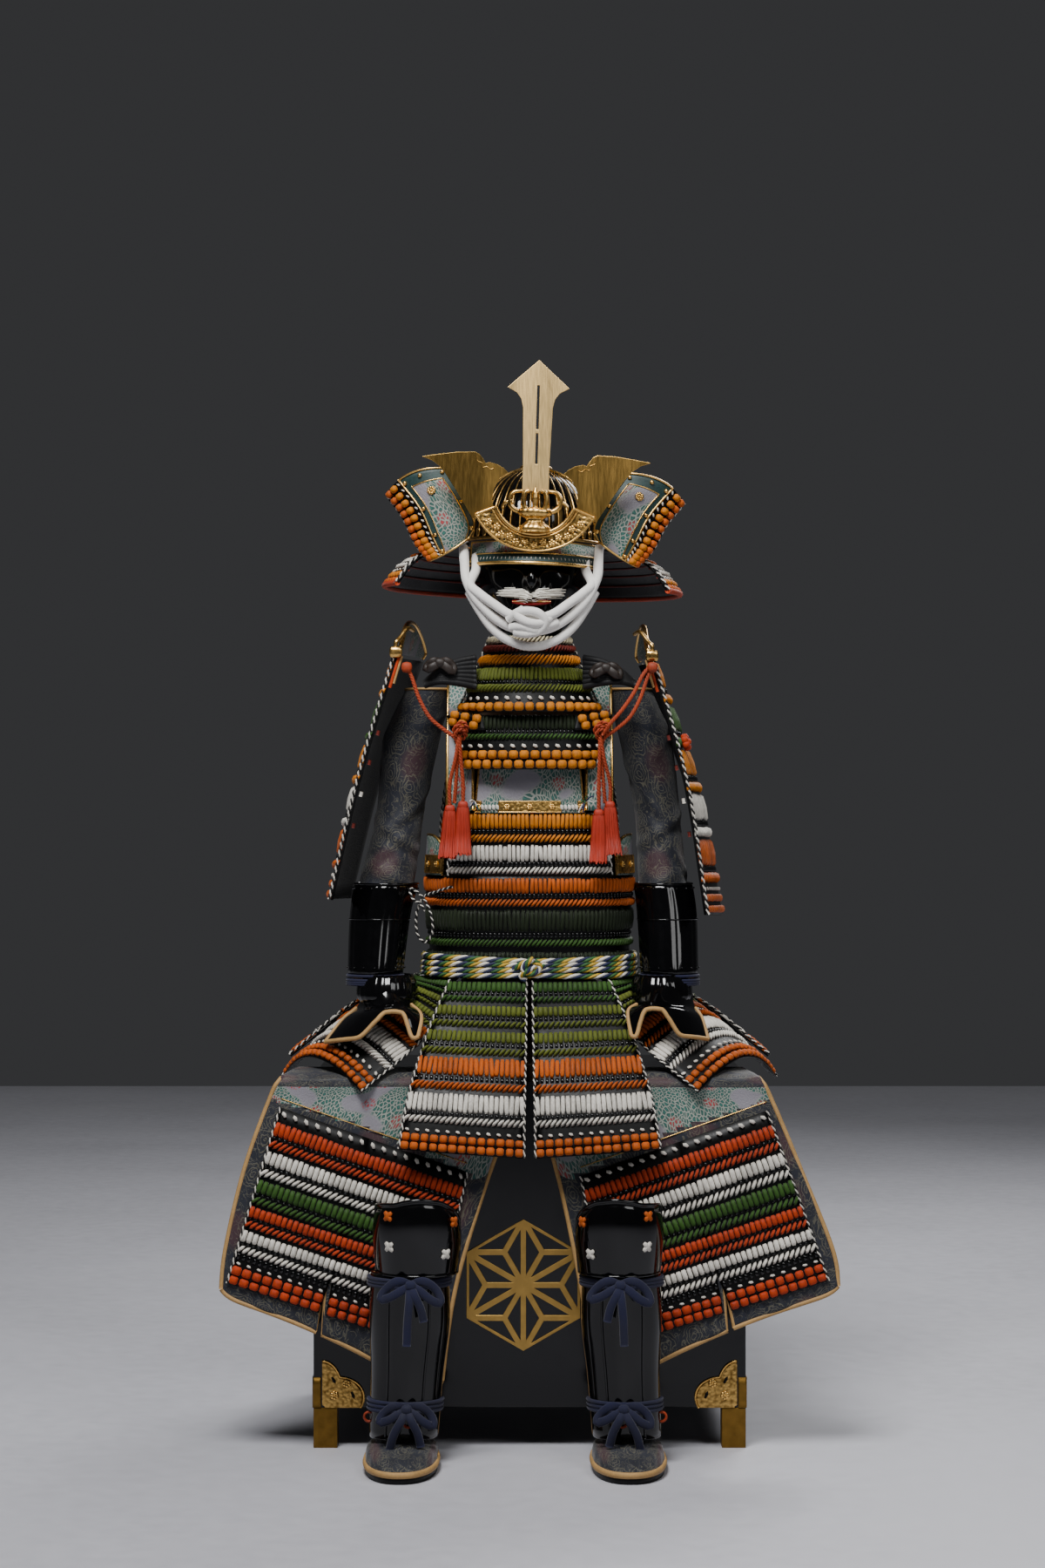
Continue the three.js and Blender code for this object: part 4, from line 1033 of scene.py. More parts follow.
visor_trims = [edge_tube(visor, 1.0, 0.003), edge_tube(visor, 0.65, 0.0012, out=0.0006),
               edge_tube(visor, 0.0, 0.0015), edge_tube(visor, 0.0, 0.002, False),
               edge_tube(visor, 1.0, 0.002, False)]
tubes("visor_rims", visor_trims, "gold")
ticks = np.linspace(0.03, 0.97, 34)
make("visor_ticks", *studs(visor, ticks, 0.82, 0.0002, [0.0007, 0.0032, 0.0006], DOT), "silk_white",
     slot="printed_leather")

# The neck guard flares round the back in laced tiers, and is dark inside with red stripes.
neck = on_helmet(round_surface([[1437, 0, HEAD_Y, 115, 135, 66, 294], [1427, 0, HEAD_Y, 168, 178, 65, 295],
                                [1404, 0, HEAD_Y, 214, 213, 64, 296], [1368, 0, HEAD_Y, 243, 234, 64, 296]]))
neck_bands = []
for silk in ("golden", "green", "orange", "white"):
    neck_bands += [("v", silk, 12), ("g", "", 4), ("t", silk, 8), ("k", "", 2)]
neck_bands += [("d", "", 7), ("b", "golden", 11), ("b", "orange", 11)]
laced("neck_guard", neck, neck_bands, 0.0095, bead=0.0145, rise=0.004, wall=0.005, edge_size=0.003)
under_neck = moved_out(neck, -0.0056)
stripes = [edge_tube(under_neck, v, 0.0022, sides=5, flat=0.7, count=110) for v in (0.3, 0.48, 0.64, 0.8)]
tubes("neck_guard_inner_lacing", stripes, "silk_dark_red")
tubes("neck_guard_hem", [edge_tube(moved_out(neck, -0.002), 1.0, 0.005, sides=8, count=140)], "silk_flame")

# %% [markdown]
# The turn-backs are the ends of the neck guard's first tier, rolled outwards. Each has a printed leather
# field in a teal border with gold lines and rivets, then a dotted row and two columns of beads at its edge.

# %% Turn-backs
turnback_rows = [
    [[241, -6, 1511], [149, -46, 1552], [8, -14, 10]],
    [[212, -22, 1473], [120, -52, 1508], [0, -18, 4]],
    [[190, -36, 1430], [97, -54, 1466], [0, -16, 0]],
    [[165, -46, 1403], [104, -52, 1441], [0, -10, -4]],
]
for side in both_sides:
    plain = on_helmet(side_piece(turnback_rows, side))
    # The helpers below count u from the outer edge on both sides; the shell keeps the outward winding.
    outer = (lambda u: u) if side == "left" else (lambda u: 1 - u)
    columns = outer(middles(40))[None]
    rows = (np.arange(24)[:, None] + 0.5) / 24
    teal = (columns > 0.3) & (columns < 0.4) | (columns > 0.9) | (columns > 0.3) & (rows < 0.11)
    field = np.where(columns < 0.3, 2, teal)
    skins = ["printed_leather", "teal_leather", "dull_lacquer"]
    shell(f"turnback_{side}_skin", plain, (40, 24), 0.005, skins, field, "dull_lacquer",
          nodes=(f"turnback_{side}",))

    def spot(u, v):
        """Points and frames on the turn-back, u from the outer edge on both sides."""
        at = np.asarray(outer(np.asarray(u, float)))
        return plain(at, v), frames_on(plain, at, v)

    gold_lines = []
    for start, end in (((0.4, 0.12), (0.4, 1.0)), ((0.9, 0.12), (0.9, 1.0)), ((0.4, 0.12), (0.9, 0.12)),
                       ((0.3, 0.0), (1.0, 0.0)), ((1.0, 0.0), (1.0, 1.0)), ((0.3, 0.0), (0.3, 1.0)),
                       ((0, 1), (1, 1))):
        along = np.linspace(0, 1, 30)
        u, v = (start[k] + (end[k] - start[k]) * along for k in (0, 1))
        path, (_, _, normal) = spot(u, v)
        size = 0.0011 if start[0] in (0.4, 0.9) else 0.0018
        gold_lines.append(tube(path + normal * 0.0004, size, 5, up=normal))
    tubes(f"turnback_{side}_gold_lines", gold_lines, "gold")
    rivets = np.array([(0.35, 0.06), (0.35, 0.36), (0.35, 0.66), (0.35, 0.94), (0.62, 0.05), (0.95, 0.05),
                       (0.95, 0.4), (0.95, 0.75)])
    rivet = studs(plain, outer(rivets[:, 0]), rivets[:, 1], 0.001, 0.0033)
    centre, frame_there = spot(0.62, 0.22)
    bloom = flower(centre, frame_there, 8, 0.0046, [0.0026, 0.0026, 0.002], [0.003, 0.003, 0.0035],
                   (0.0015, 0.0015))
    tubes(f"turnback_{side}_rivets", [rivet, bloom], "gold")
    v = middles(11)
    knots = [studs(plain, outer(np.full(11, u)), v, 0.003, [0.0062, 0.0056, 0.0055]) for u in (0.06, 0.165)]
    v = middles(14)
    path, (across, down, normal) = spot(np.full(14, 0.255), v)
    knots.append(placed(*DOT, path + normal * 0.001, np.stack([down + across * 0.6, across, normal], 1),
                        [0.0034, 0.002, 0.002]))
    tubes(f"turnback_{side}_knots", knots, ["silk_orange", "silk_golden", "silk_white"], [0, 1, 2])
    path, _ = spot(np.zeros(30), np.linspace(0, 1, 30))
    tubes(f"turnback_{side}_edge", rope(line(path, 0.003), 0.003, 2, 0.013, 4, up=(0, 1, 0)),
          ["silk_white", "silk_black"], [0, 1])
print("helmet made")

# %% [markdown]
# The crest is cut from sheet brass: a broad sword in a pronged hilt between two horns, on a pierced crescent.
# The flat plates keep their CAD outline, and the chased parts are built up on them.

# %% Crest
# The sword takes the paler gold, whose extra brightness is painted light.
bevelled("crest_sword", "pale_gold", 0.0005)
for side in both_sides:
    bevelled(f"horn_{side}", "brushed_gold", 0.0004)
SWORD_Y = -0.101


def on_plate(x, z, y):
    """Points of the upright crest plates, in the helmet's own millimetres and metres of depth."""
    x, z = np.asarray(x, float) * MM, np.asarray(z, float) * MM
    return tipped(np.stack([x, np.broadcast_to(y, x.shape), z], -1))


for side, s in sign_of.items():
    wavy = line(on_plate([s * 66, s * 72, s * 78, s * 85, s * 86, s * 93, s * 94],
                         [1550, 1547, 1551, 1550, 1557, 1560, 1569], SWORD_Y + 0.0036), 0.0015)
    tubes(f"horn_{side}_engraving", [tube(wavy, 0.0007, 5)], "carved_gold")

ARC = np.linspace(0, 1, 61)


def curve3(points, t):
    """A quadratic Bezier through three control points: (1-t)^2 a + 2t(1-t) b + t^2 c."""
    a, b, c = (np.array(p, float) for p in points)
    t = t[:, None]
    return (1 - t) ** 2 * a + 2 * t * (1 - t) * b + t * t * c


def arc(end, bend, middle):
    """An arc of the crescent: two mirrored quadratic curves that meet at x = 0."""
    half = curve3([(-end[0], end[1]), (-bend, middle), (0, middle)], ARC)
    other = curve3([(0, middle), (bend, middle), end], ARC)
    return np.vstack([half, other[1:]])


low_arc = arc((94, 1474), 62, 1419)
high_arc = arc((62, 1487), 44, 1446)


def crescent(u, v):
    """The crescent's plate, from its upper arc (v = 0) to its lower arc (v = 1)."""
    u, v = grid(u, v)
    place = np.linspace(0, 1, len(low_arc))
    high = np.stack([np.interp(u, place, high_arc[:, k]) for k in (0, 1)], -1)
    low = np.stack([np.interp(u, place, low_arc[:, k]) for k in (0, 1)], -1)
    both = high + (low - high) * v[..., None]
    return on_plate(both[..., 0], both[..., 1], SWORD_Y - 0.0075)


uu, vv = cell_corners(160, 16)
scallops = 0.0012 * np.abs(np.sin(uu * 26 * math.pi)) * (vv > 0.35) * np.sin(np.clip(vv, 0.35, 1) * 9)
shell("crest_base_plate", crescent, (160, 16), 0.0022, "carved_gold", relief=0.0006 + scallops,
      nodes=("crest_base",))
crest_rims = [edge_tube(crescent, 0.0, 0.0034, out=0.001, flat=0.8, count=90),
              edge_tube(crescent, 0.2, 0.0014, out=0.0016, count=90),
              edge_tube(crescent, 1.0, 0.0018, out=0.0008, count=90),
              edge_tube(crescent, 0, 0.0022, False, count=12),
              edge_tube(crescent, 1, 0.0022, False, count=12)]
tubes("crest_base_rims", crest_rims, "gold")
blooms = []
for k, u in enumerate(np.linspace(0.09, 0.91, 13)):
    v = 0.5 if k % 2 else 0.66
    blooms.append(flower(crescent(u, v), frames_on(crescent, u, v), 5, 0.0036, [0.0026, 0.0026, 0.0016],
                         [0.002, 0.002, 0.0028], (0.0022, 0.0022), 0.3 * k))
tubes("crest_base_flowers", blooms, "gold")
fretted = rng.uniform(0, 1, (90, 2))
fret_u, fret_v = 0.03 + 0.94 * fretted[:, 0], 0.3 + 0.6 * fretted[:, 1]
make("crest_base_piercings", *studs(crescent, fret_u, fret_v, 0.0013, [0.0013, 0.0018, 0.0006], DOT),
     "dull_lacquer", slot="gold_fittings")

# The hilt: a lotus cup with a collar, and four prongs that bow out and meet a centre spike.
cup = [[1447, 20], [1450, 23], [1454, 24], [1458, 21], [1462, 15], [1466, 13], [1470, 14], [1473, 21],
       [1477, 27], [1481, 26], [1484, 24], [1486, 10]]
HILT_Y = SWORD_Y - 0.0156


def turned_about(profile, centre_x, centre_y, flat=0.62):
    """A profile of z and radius turned round an upright axis: P = (r sin a, -flat r cos a, z)."""
    profile = np.array(profile, float)

    def at(u, v):
        u, v = grid(u, v)
        z, r = np.moveaxis(smooth(profile, v), -1, 0)
        angle = 2 * math.pi * (u - 0.5)
        return tipped(np.stack([centre_x + r * np.sin(angle) * MM, centre_y - flat * r * np.cos(angle) * MM,
                                z * MM], -1))

    return at


cup_surface = turned_about(cup[::-1], 0.0, HILT_Y)
leaves = 0.0009 * np.abs(np.sin(np.linspace(0, 12 * math.pi, 73)))
shell("crest_hilt_cup", cup_surface, (72, 20), 0.0012, "gold", relief=leaves, around=True,
      nodes=("crest_hilt",))
prongs = []
for x, bow, depth in ((-1, 41, 0), (1, 41, 0), (-0.45, 41, -9), (0.45, 41, -9), (-0.5, 38, 9), (0.5, 38, 9)):
    path = line(on_plate(np.array([10, 26, 38, 40, 34, 20]) * x * bow / 41,
                         [1479, 1480, 1488, 1500, 1510, 1513], HILT_Y + depth * MM), 0.002)
    prongs.append(tube(path, 0.0042 * np.sin(np.linspace(0.7, 2.75, len(path))) ** 0.5, 8))
spike = line(on_plate([0, 0, 0, 0, 0], [1478, 1488, 1498, 1508, 1519], HILT_Y - 0.006), 0.002)
spike_radius = np.interp(np.linspace(0, 1, len(spike)), [0, 0.3, 0.55, 0.8, 1],
                         [0.006, 0.0042, 0.0065, 0.005, 0.001])
prongs.append(tube(spike, spike_radius, 8))
for x in (-1, 1):
    fang = line(on_plate(np.array([36, 46, 52, 50]) * x, [1496, 1494, 1487, 1481], HILT_Y), 0.002)
    prongs.append(tube(fang, np.linspace(0.004, 0.0008, len(fang)), 6))
tubes("crest_hilt_prongs", prongs, "gold")
collar = [tube(line(cup_surface(np.linspace(0, 1, 49), v), 0.002), 0.0016, 6, (0, 0, 1), closed=True)
          for v in (0.35, 0.62, 0.95)]
tubes("crest_hilt_collars", collar, "carved_gold")
print("crest made")

# %% [markdown]
# Plates faced with printed leather close the cuirass at the chest, under the arms and over the shoulders.
# Each is a plain wall with a rolled gold rim, because the print and the fittings carry the detail.


# %% Leather plates
LEATHER_WALL = 0.004


def rimmed(name, surface, cells, sides, radius=0.0022, lining="dull_lacquer"):
    """A wall faced with leather, and gold tubes round its chosen sides."""
    obj = shell(name + "_skin", surface, cells, LEATHER_WALL, "printed_leather", lining=lining, nodes=(name,))
    tubes(name + "_rim", edge_tubes(moved_out(surface, -LEATHER_WALL / 2), sides, radius, flat=1.3),
          "gold").parent = obj


def arched(surface):
    """The plate's top edge is lower at its two ends: v starts at 0.35 (2u - 1)^4."""
    return part_of(surface, v0=lambda u: 0.35 * (2 * np.asarray(u) - 1) ** 4)


chest_plate = torso_panel([1080, 1042, 1003.3], -27, 27)
rimmed("chest_plate", chest_plate, (40, 20), "tlr")
for side in both_sides:
    ends = (-112, -52) if side == "left" else (52, 112)
    rimmed(f"side_plate_{side}", arched(torso_panel([968, 936, 903.3], *ends)), (30, 14), "tlr")
strap_line = [[-60, 1008], [-44, 1090], [-10, 1160], [26, 1212], [72, 1236], [124, 1228], [158, 1196]]
strap_rows = [[[132, y, z - 3], [91, y, z], [0, 0, 0]] for y, z in reversed(strap_line)]
for side in both_sides:
    rimmed(f"shoulder_strap_{side}", side_piece(strap_rows, side), (10, 48), "lr", 0.0026)


def fretted_plate(name, surface, spans, outset=0.0018, blooms=2):
    """A small chased gold plate on a surface, with a raised rim and flowers: spans are u0, u1, v0, v1."""
    patch = moved_out(part_of(surface, *spans), outset)
    plate_piece = shell(name, patch, (36, 14), 0.0012, "carved_gold")
    rims = edge_tubes(patch, "tblr", 0.001)
    for u in middles(blooms):
        rims.append(flower(patch(u, 0.5), frames_on(patch, u, 0.5), 6, 0.003, [0.0021, 0.0021, 0.0016],
                           [0.0016, 0.0016, 0.0026], (0.001, 0.0015)))
    tubes(name + "_rim", rims, "gold").parent = plate_piece


fretted_plate("chest_plate_fitting", chest_plate, (0.26, 0.74, 0.76, 0.98), blooms=3)
fretted_plate("chest_fitting_left", chest_plate, (0.01, 0.07, 0.76, 0.98), blooms=1)
fretted_plate("chest_fitting_right", chest_plate, (0.93, 0.99, 0.76, 0.98), blooms=1)
for side, ends in (("left", (-72, -50)), ("right", (50, 72))):
    fretted_plate(f"side_fitting_{side}", torso_panel([935, 921, 907], *ends, 4), (0, 1, 0, 1))
for side, (u0, u1) in (("left", (0.09, 0.25)), ("right", (0.75, 0.91))):
    make(f"chest_dots_{side}", *studs(chest_plate, np.linspace(u0, u1, 5), 0.88, 0.0015,
                                      [0.0026, 0.0042, 0.0022], shear=0.4), "silk_white")
tufts = []
for side, s in sign_of.items():
    for _ in range(9):
        start = np.array([s * 0.088, -0.071, 1.022])
        way = np.array([s * rng.uniform(-0.012, 0.014), -0.006 - rng.uniform(0, 0.006),
                        rng.uniform(-0.022, 0.012)])
        middle = start + way * 0.6 + [0, -0.004, 0.002]
        tufts.append(tube(line([start, middle, start + way], 0.002), 0.0011, 4))
tubes("chest_tufts", tufts, ["silk_white", "belt_g", "belt_n"], [k % 3 for k in range(len(tufts))])

# %% [markdown]
# The crown plate caps each shoulder guard: an arched plate with a thick brass edge and a square brass clasp.

# %% Crown plates
for side in both_sides:
    start, end, bulge = (np.array(p, float) for p in shoulder_rows[side][0])
    crown_rows = [
        [start + [-8, -10, 14], end + [-8, 10, 14], bulge + [-10, 0, 44]],
        [start + [-2, -4, 6], end + [-2, 4, 6], bulge],
    ]
    crown = side_piece(crown_rows, side)
    rimmed(f"crown_plate_{side}", crown, (40, 12), "tlr", 0.0034, lining="printed_leather")
    front_u = 0.0 if side == "right" else 1.0
    top, foot = crown(front_u, 0.0), crown(front_u, 1.0)
    loop = line([foot + [0, -0.004, -0.004], foot + [0, -0.008, 0.012], top + [0, -0.006, 0.012],
                 top + [sign_of[side] * -0.012, 0.012, 0.028], top + [sign_of[side] * -0.02, 0.04, 0.026]],
                0.003)
    tubes(f"crown_hoop_{side}", [tube(loop, 0.0034, 8)], "gold")
    block = placed(*pillow(8, 4, 0.3), (foot + [0, -0.006, -0.003])[None], np.eye(3)[None],
                   [[0.0105, 0.006, 0.0095]])
    make(f"crown_clasp_{side}", *block, "gold")
    surface = side_piece(shoulder_rows[side], side)
    red = [edge_tube(surface, front_u, 0.0026, False, (0.0, 0.13), out=-0.008),
           edge_tube(surface, front_u, 0.0022, False, (0.0, 0.11), out=-0.012)]
    tubes(f"shoulder_guard_{side}_red_braid", red, ["silk_flame", "tan_leather"], [0, 1])
    marks = []
    for v in (0.3, 0.42, 0.55, 0.68):
        path = surface(front_u, np.linspace(v, v + 0.02, 6))
        inward = frames_on(surface, front_u, v)[2] * -0.011
        marks.append(tube(path + inward + [0, 0.004, 0], 0.003, 6))
    tubes(f"shoulder_guard_{side}_inner_ties", marks, ["silk_dark_red", "silk_white"], [0, 0, 1, 0])
    if side == "right":
        rosette = flower(surface(0.12, 0.34), frames_on(surface, 0.12, 0.34), 7, 0.009,
                         [0.0055, 0.0055, 0.006], [0.006, 0.006, 0.009], (0.008, 0.008))
        make("shoulder_guard_right_rosette", *rosette, "silk_flame")

# %% [markdown]
# The sleeves are brocade tubes over a soft lining. They aren't stuffed, so the cloth is a thin wall on the
# arm's own table, with creases listed one by one: deeper at the elbow, and none alike.

# %% Sleeves
sleeve_rows = {
    "left": [[1206, 163, 64, 39, 56], [1120, 193, 62, 46, 54], [1003, 211, 58, 39, 50],
             [905, 229, 44, 44, 46], [840, 242, 22, 41, 38], [738, 249, -14, 36, 34]],
    "right": [[1206, 162, 64, 37, 56], [1120, 190, 62, 42, 54], [1003, 209, 58, 37, 50],
              [905, 216, 46, 39, 46], [840, 223, 22, 40, 38], [738, 226, -14, 38, 34]],
}
# Each crease: its height down the sleeve, how far it slants, where round the arm it is deepest, depth in mm
# and how narrow it is.
creases = {
    "left": [(0.24, 0.10, 0.35, 1.9, 3.2), (0.38, -0.07, 0.62, 2.6, 4.4), (0.47, 0.05, 0.5, 3.4, 5.0),
             (0.55, -0.09, 0.4, 2.2, 3.6), (0.63, 0.06, 0.58, 2.8, 3.0), (0.12, -0.04, 0.66, 1.4, 4.0)],
    "right": [(0.2, -0.08, 0.62, 2.1, 3.4), (0.34, 0.09, 0.4, 2.3, 4.1), (0.45, -0.05, 0.52, 3.6, 4.6),
              (0.53, 0.1, 0.6, 2.0, 3.9), (0.66, -0.07, 0.42, 2.6, 3.2), (0.1, 0.05, 0.35, 1.6, 3.6)],
}


def arm_surface(side, start=-180, end=180, outset=0.0):
    """The arm's tube between two angles, moved out by outset millimetres."""
    rows = [[z, sign_of[side] * x, y, across + outset, deep + outset, start, end] for z, x, y, across, deep in
            sleeve_rows[side]]
    return round_surface(rows)


for side in both_sides:
    arm = arm_surface(side)
    uu, vv = cell_corners(64, 90)
    folds = np.zeros_like(uu)
    for place, slope, middle, depth, narrow in creases[side]:
        away = (vv - place - slope * np.sin(2 * math.pi * (uu - middle))) * narrow * 12
        reach = 0.5 + 0.5 * np.cos(2 * math.pi * (uu - middle))
        folds += depth * MM * (np.exp(-(away**2)) - 0.6 * np.exp(-((away - 1.6) ** 2))) * reach
    sleeve = shell(f"sleeve_{side}_cloth", arm, (64, 90), 0.003, "brocade", relief=folds, around=True,
                   lining="dull_lacquer", nodes=(f"sleeve_{side}",))
    cuff = [tube(line(arm(np.linspace(0, 1, 60), v), 0.004), 0.0022, 6, (0, 0, 1), closed=True)
            for v in (0.004, 0.996)]
    tubes(f"sleeve_{side}_hems", cuff, "tan_leather", slot="brocade").parent = sleeve
    around_arm = [arm(np.linspace(0, 1, 200), v) for v in np.linspace(0, 1, 8)]
    long = float(np.mean([length_of(arm(u, np.linspace(0, 1, 200))) for u in np.linspace(0, 1, 8)]))

# %% [markdown]
# The forearm plates are rows of lacquered splints. Each splint is a rounded ridge with a rivet near each
# end, and a thin line runs round them at half their height.

# %% Forearm plates and wrist ties


def part_v(side, z_top, z_low):
    """The values of v on the arm between two heights."""
    table = np.array(sleeve_rows[side], float)
    fine = np.linspace(0, 1, 400)
    heights = smooth(table, fine)[:, 0]
    return np.interp([-z_top, -z_low], -heights, fine)


for side in both_sides:
    v0, v1 = part_v(side, 888, 742)
    plates = part_of(arm_surface(side, -125, 125, 7.5), v0=v0, v1=v1)
    uu, vv = cell_corners(88, 16)
    ridge = 0.001 * np.abs(np.sin(uu * 11 * math.pi)) ** 0.8
    ends = np.clip(np.minimum(vv, 1 - vv) * 16, 0, 1)
    shell(f"forearm_plate_{side}_splints", plates, (88, 16), THIN_IRON_WALL, "black_lacquer",
          relief=ridge * ends, lining="dull_lacquer", nodes=(f"forearm_plate_{side}",))
    trims = [edge_tube(plates, 0.0, 0.002), edge_tube(plates, 1.0, 0.0024),
             edge_tube(plates, 0.0, 0.002, False), edge_tube(plates, 1.0, 0.002, False),
             edge_tube(plates, 0.5, 0.0011, out=0.0016)]
    tubes(f"forearm_plate_{side}_rims", trims, "black_lacquer")
    rivet_u = middles(11)
    for v in (0.07, 0.93):
        make(f"forearm_plate_{side}_rivets_{'top' if v < 0.5 else 'low'}",
             *studs(plates, rivet_u, v, 0.002, 0.0018, DOT), "black_lacquer")
    wrist = arm_surface(side, -180, 180, 8.6)
    turns = []
    for k in range(4):
        v = part_v(side, 742 - 3.6 * k, 742 - 3.6 * k)[0]
        ring = wrist(np.linspace(0, 1, 60), np.full(60, v)) + [0, 0, -0.0032 * k]
        turns.append(tube(line(ring, 0.004), 0.0026, 6, (0, 0, 1), closed=True))
    tubes(f"wrist_tie_{side}", turns, "navy_cloth", slot="silk_lacing")

# %% [markdown]
# The hand guards are lacquered leaves shaped over the back of the hand and the thumb, with a piped leather
# rim. The rim's wave is the lower end of v, given as a few heights across the leaf.

# %% Hand guards
hand_rows = {
    "left": [
        [[280, -8, 737], [202, -14, 737], [0, -52, 0]],
        [[274, -22, 698], [193, -60, 704], [0, -46, 0]],
        [[300, -46, 673], [172, -98, 684], [0, -42, 12]],
        [[326, -78, 640], [176, -134, 650], [0, -26, 6]],
    ],
    "right": [
        [[262, -8, 737], [182, -14, 737], [0, -52, 0]],
        [[264, -34, 698], [174, -72, 704], [0, -46, 0]],
        [[276, -58, 676], [156, -102, 690], [0, -42, 12]],
        [[284, -84, 645], [160, -134, 652], [0, -26, 6]],
    ],
}
HEM_AT = [0, 0.2, 0.38, 0.5, 0.56, 0.77, 0.87, 0.95, 1.0]
HEM_LOW = [1.0, 1.0, 0.98, 0.78, 0.68, 0.68, 0.86, 1.0, 0.98]


def rounded_steps(at, values):
    """A smooth curve through values given at uneven places."""
    fine = np.linspace(0, 1, 200)
    curve = smooth(np.array(values)[:, None], np.interp(fine, at, np.linspace(0, 1, len(at))))[:, 0]
    return lambda u: np.minimum(np.interp(u, fine, curve), 1)


for side in both_sides:
    hem = rounded_steps(HEM_AT, HEM_LOW)
    leaf = part_of(side_piece(hand_rows[side], side), v1=hem if side == "left" else turned(hem))
    uu, vv = cell_corners(64, 32)
    off = uu if side == "left" else 1 - uu
    knuckles = 0.004 * np.exp(-(((off - 0.78) / 0.13) ** 2)) * np.sin(vv * math.pi)
    pleats = 0.0016 * np.abs(np.sin(uu * 14 * math.pi)) * np.clip(1 - vv * 3.5, 0, 1)
    shell(f"hand_guard_{side}_leaf", leaf, (64, 32), THIN_IRON_WALL, "black_lacquer",
          relief=knuckles + pleats, lining="brown_leather", nodes=(f"hand_guard_{side}",))
    piping = [edge_tube(leaf, 1.0, 0.0036, out=-0.001, count=120),
              edge_tube(leaf, 0.0, 0.0036, False, (0.42, 1), out=-0.001),
              edge_tube(leaf, 1.0, 0.0036, False, (0.42, 1), out=-0.001)]
    tubes(f"hand_guard_{side}_piping", piping, "tan_leather")
    centre = sign_of[side] * (229 if side == "left" else 212)
    cuff = round_surface([[744, centre, -22, 40, 40, -180, 180], [728, centre, -26, 47, 46, -180, 180],
                          [708, centre, -30, 47, 46, -180, 180], [696, centre, -32, 36, 34, -180, 180]])
    gathers = 0.0013 * np.abs(np.sin(np.linspace(0, 22 * math.pi, 89)))
    shell(f"wrist_cuff_{side}", cuff, (88, 10), 0.002, "black_lacquer", relief=gathers, around=True)
print("arms made")

# %% [markdown]
# The thigh guards are brocade aprons. Their laced rows slope down to the inside, so they lie on the cloth as
# patches of their own: a patch's corners are given in x and z, and Newton steps find them on the cloth.

# %% Thigh guards
thigh_rows = {
    "left": [
        [[372, -34, 596], [8, -34, 596], [0, 0, 0]],
        [[392, -126, 588], [10, -126, 588], [0, 0, 0]],
        [[412, -137, 548], [24, -137, 546], [0, -2, 0]],
        [[450, -146, 440], [72, -148, 412], [0, -4, 4]],
        [[478, -154, 318], [118, -156, 252], [0, -5, 10]],
        [[485, -158, 246], [141, -160, 86], [0, -5, 16]],
    ],
    "right": [
        [[342, -34, 596], [8, -34, 596], [0, 0, 0]],
        [[362, -126, 588], [9, -126, 588], [0, 0, 0]],
        [[384, -137, 546], [14, -137, 546], [0, -2, 0]],
        [[428, -146, 440], [50, -148, 412], [0, -4, 4]],
        [[476, -154, 318], [82, -156, 252], [0, -5, 10]],
        [[485, -158, 252], [106, -160, 92], [0, -5, 16]],
    ],
}
# Corners of the laced area from the outer edge in: top outer, top inner, low outer, low inner (x, z).
laced_corners = {
    "left": [(392, 541), (98, 440), (474, 268), (160, 168)],
    "right": [(373, 536), (80, 434), (468, 272), (135, 170)],
}
thigh_bands = [("d", "", 12), ("k", "", 4), ("v", "flame", 15), ("g", "", 4), ("t", "flame", 10),
               ("k", "", 3), ("v", "white", 15), ("g", "", 4), ("t", "white", 10), ("k", "", 3),
               ("v", "green", 15), ("g", "", 3), ("t", "green", 10), ("k", "", 2), ("v", "flame", 12),
               ("g", "", 3), ("t", "flame", 9), ("k", "", 3), ("v", "white", 12), ("g", "", 4),
               ("t", "white", 9), ("g", "", 8), ("d", "", 6), ("b", "flame", 10.5), ("b", "flame", 10.5)]
SLIT_GAP = 0.005


def on_cloth(surface, corners, sign, out):
    """A patch with straight sides in x and z, laid on a surface: Newton steps solve S(a, b) = (x, z)."""
    corner = np.array(corners, float) * MM * [sign, 1]

    def at(u, v):
        u, v = grid(u, v)
        s, t = u[..., None], v[..., None]
        goal = (corner[0] * (1 - s) + corner[1] * s) * (1 - t) + (corner[2] * (1 - s) + corner[3] * s) * t
        a, b = np.full(u.shape, 0.5), np.full(u.shape, 0.6)
        step = 1e-4
        for _ in range(9):
            here = surface(a, b)
            da = (surface(a + step, b) - here) / step
            db = (surface(a, b + step) - surface(a, b - step)) / (2 * step)
            miss = goal - here[..., [0, 2]]
            area = da[..., 0] * db[..., 2] - da[..., 2] * db[..., 0]
            a = a + np.clip((miss[..., 0] * db[..., 2] - miss[..., 1] * db[..., 0]) / area, -0.3, 0.3)
            change = np.clip((da[..., 0] * miss[..., 1] - da[..., 2] * miss[..., 0]) / area, -0.3, 0.3)
            b = np.clip(b + change, 0.05, 0.999)
        return surface(a, b) + frames_on(surface, a, b)[2] * out

    return at


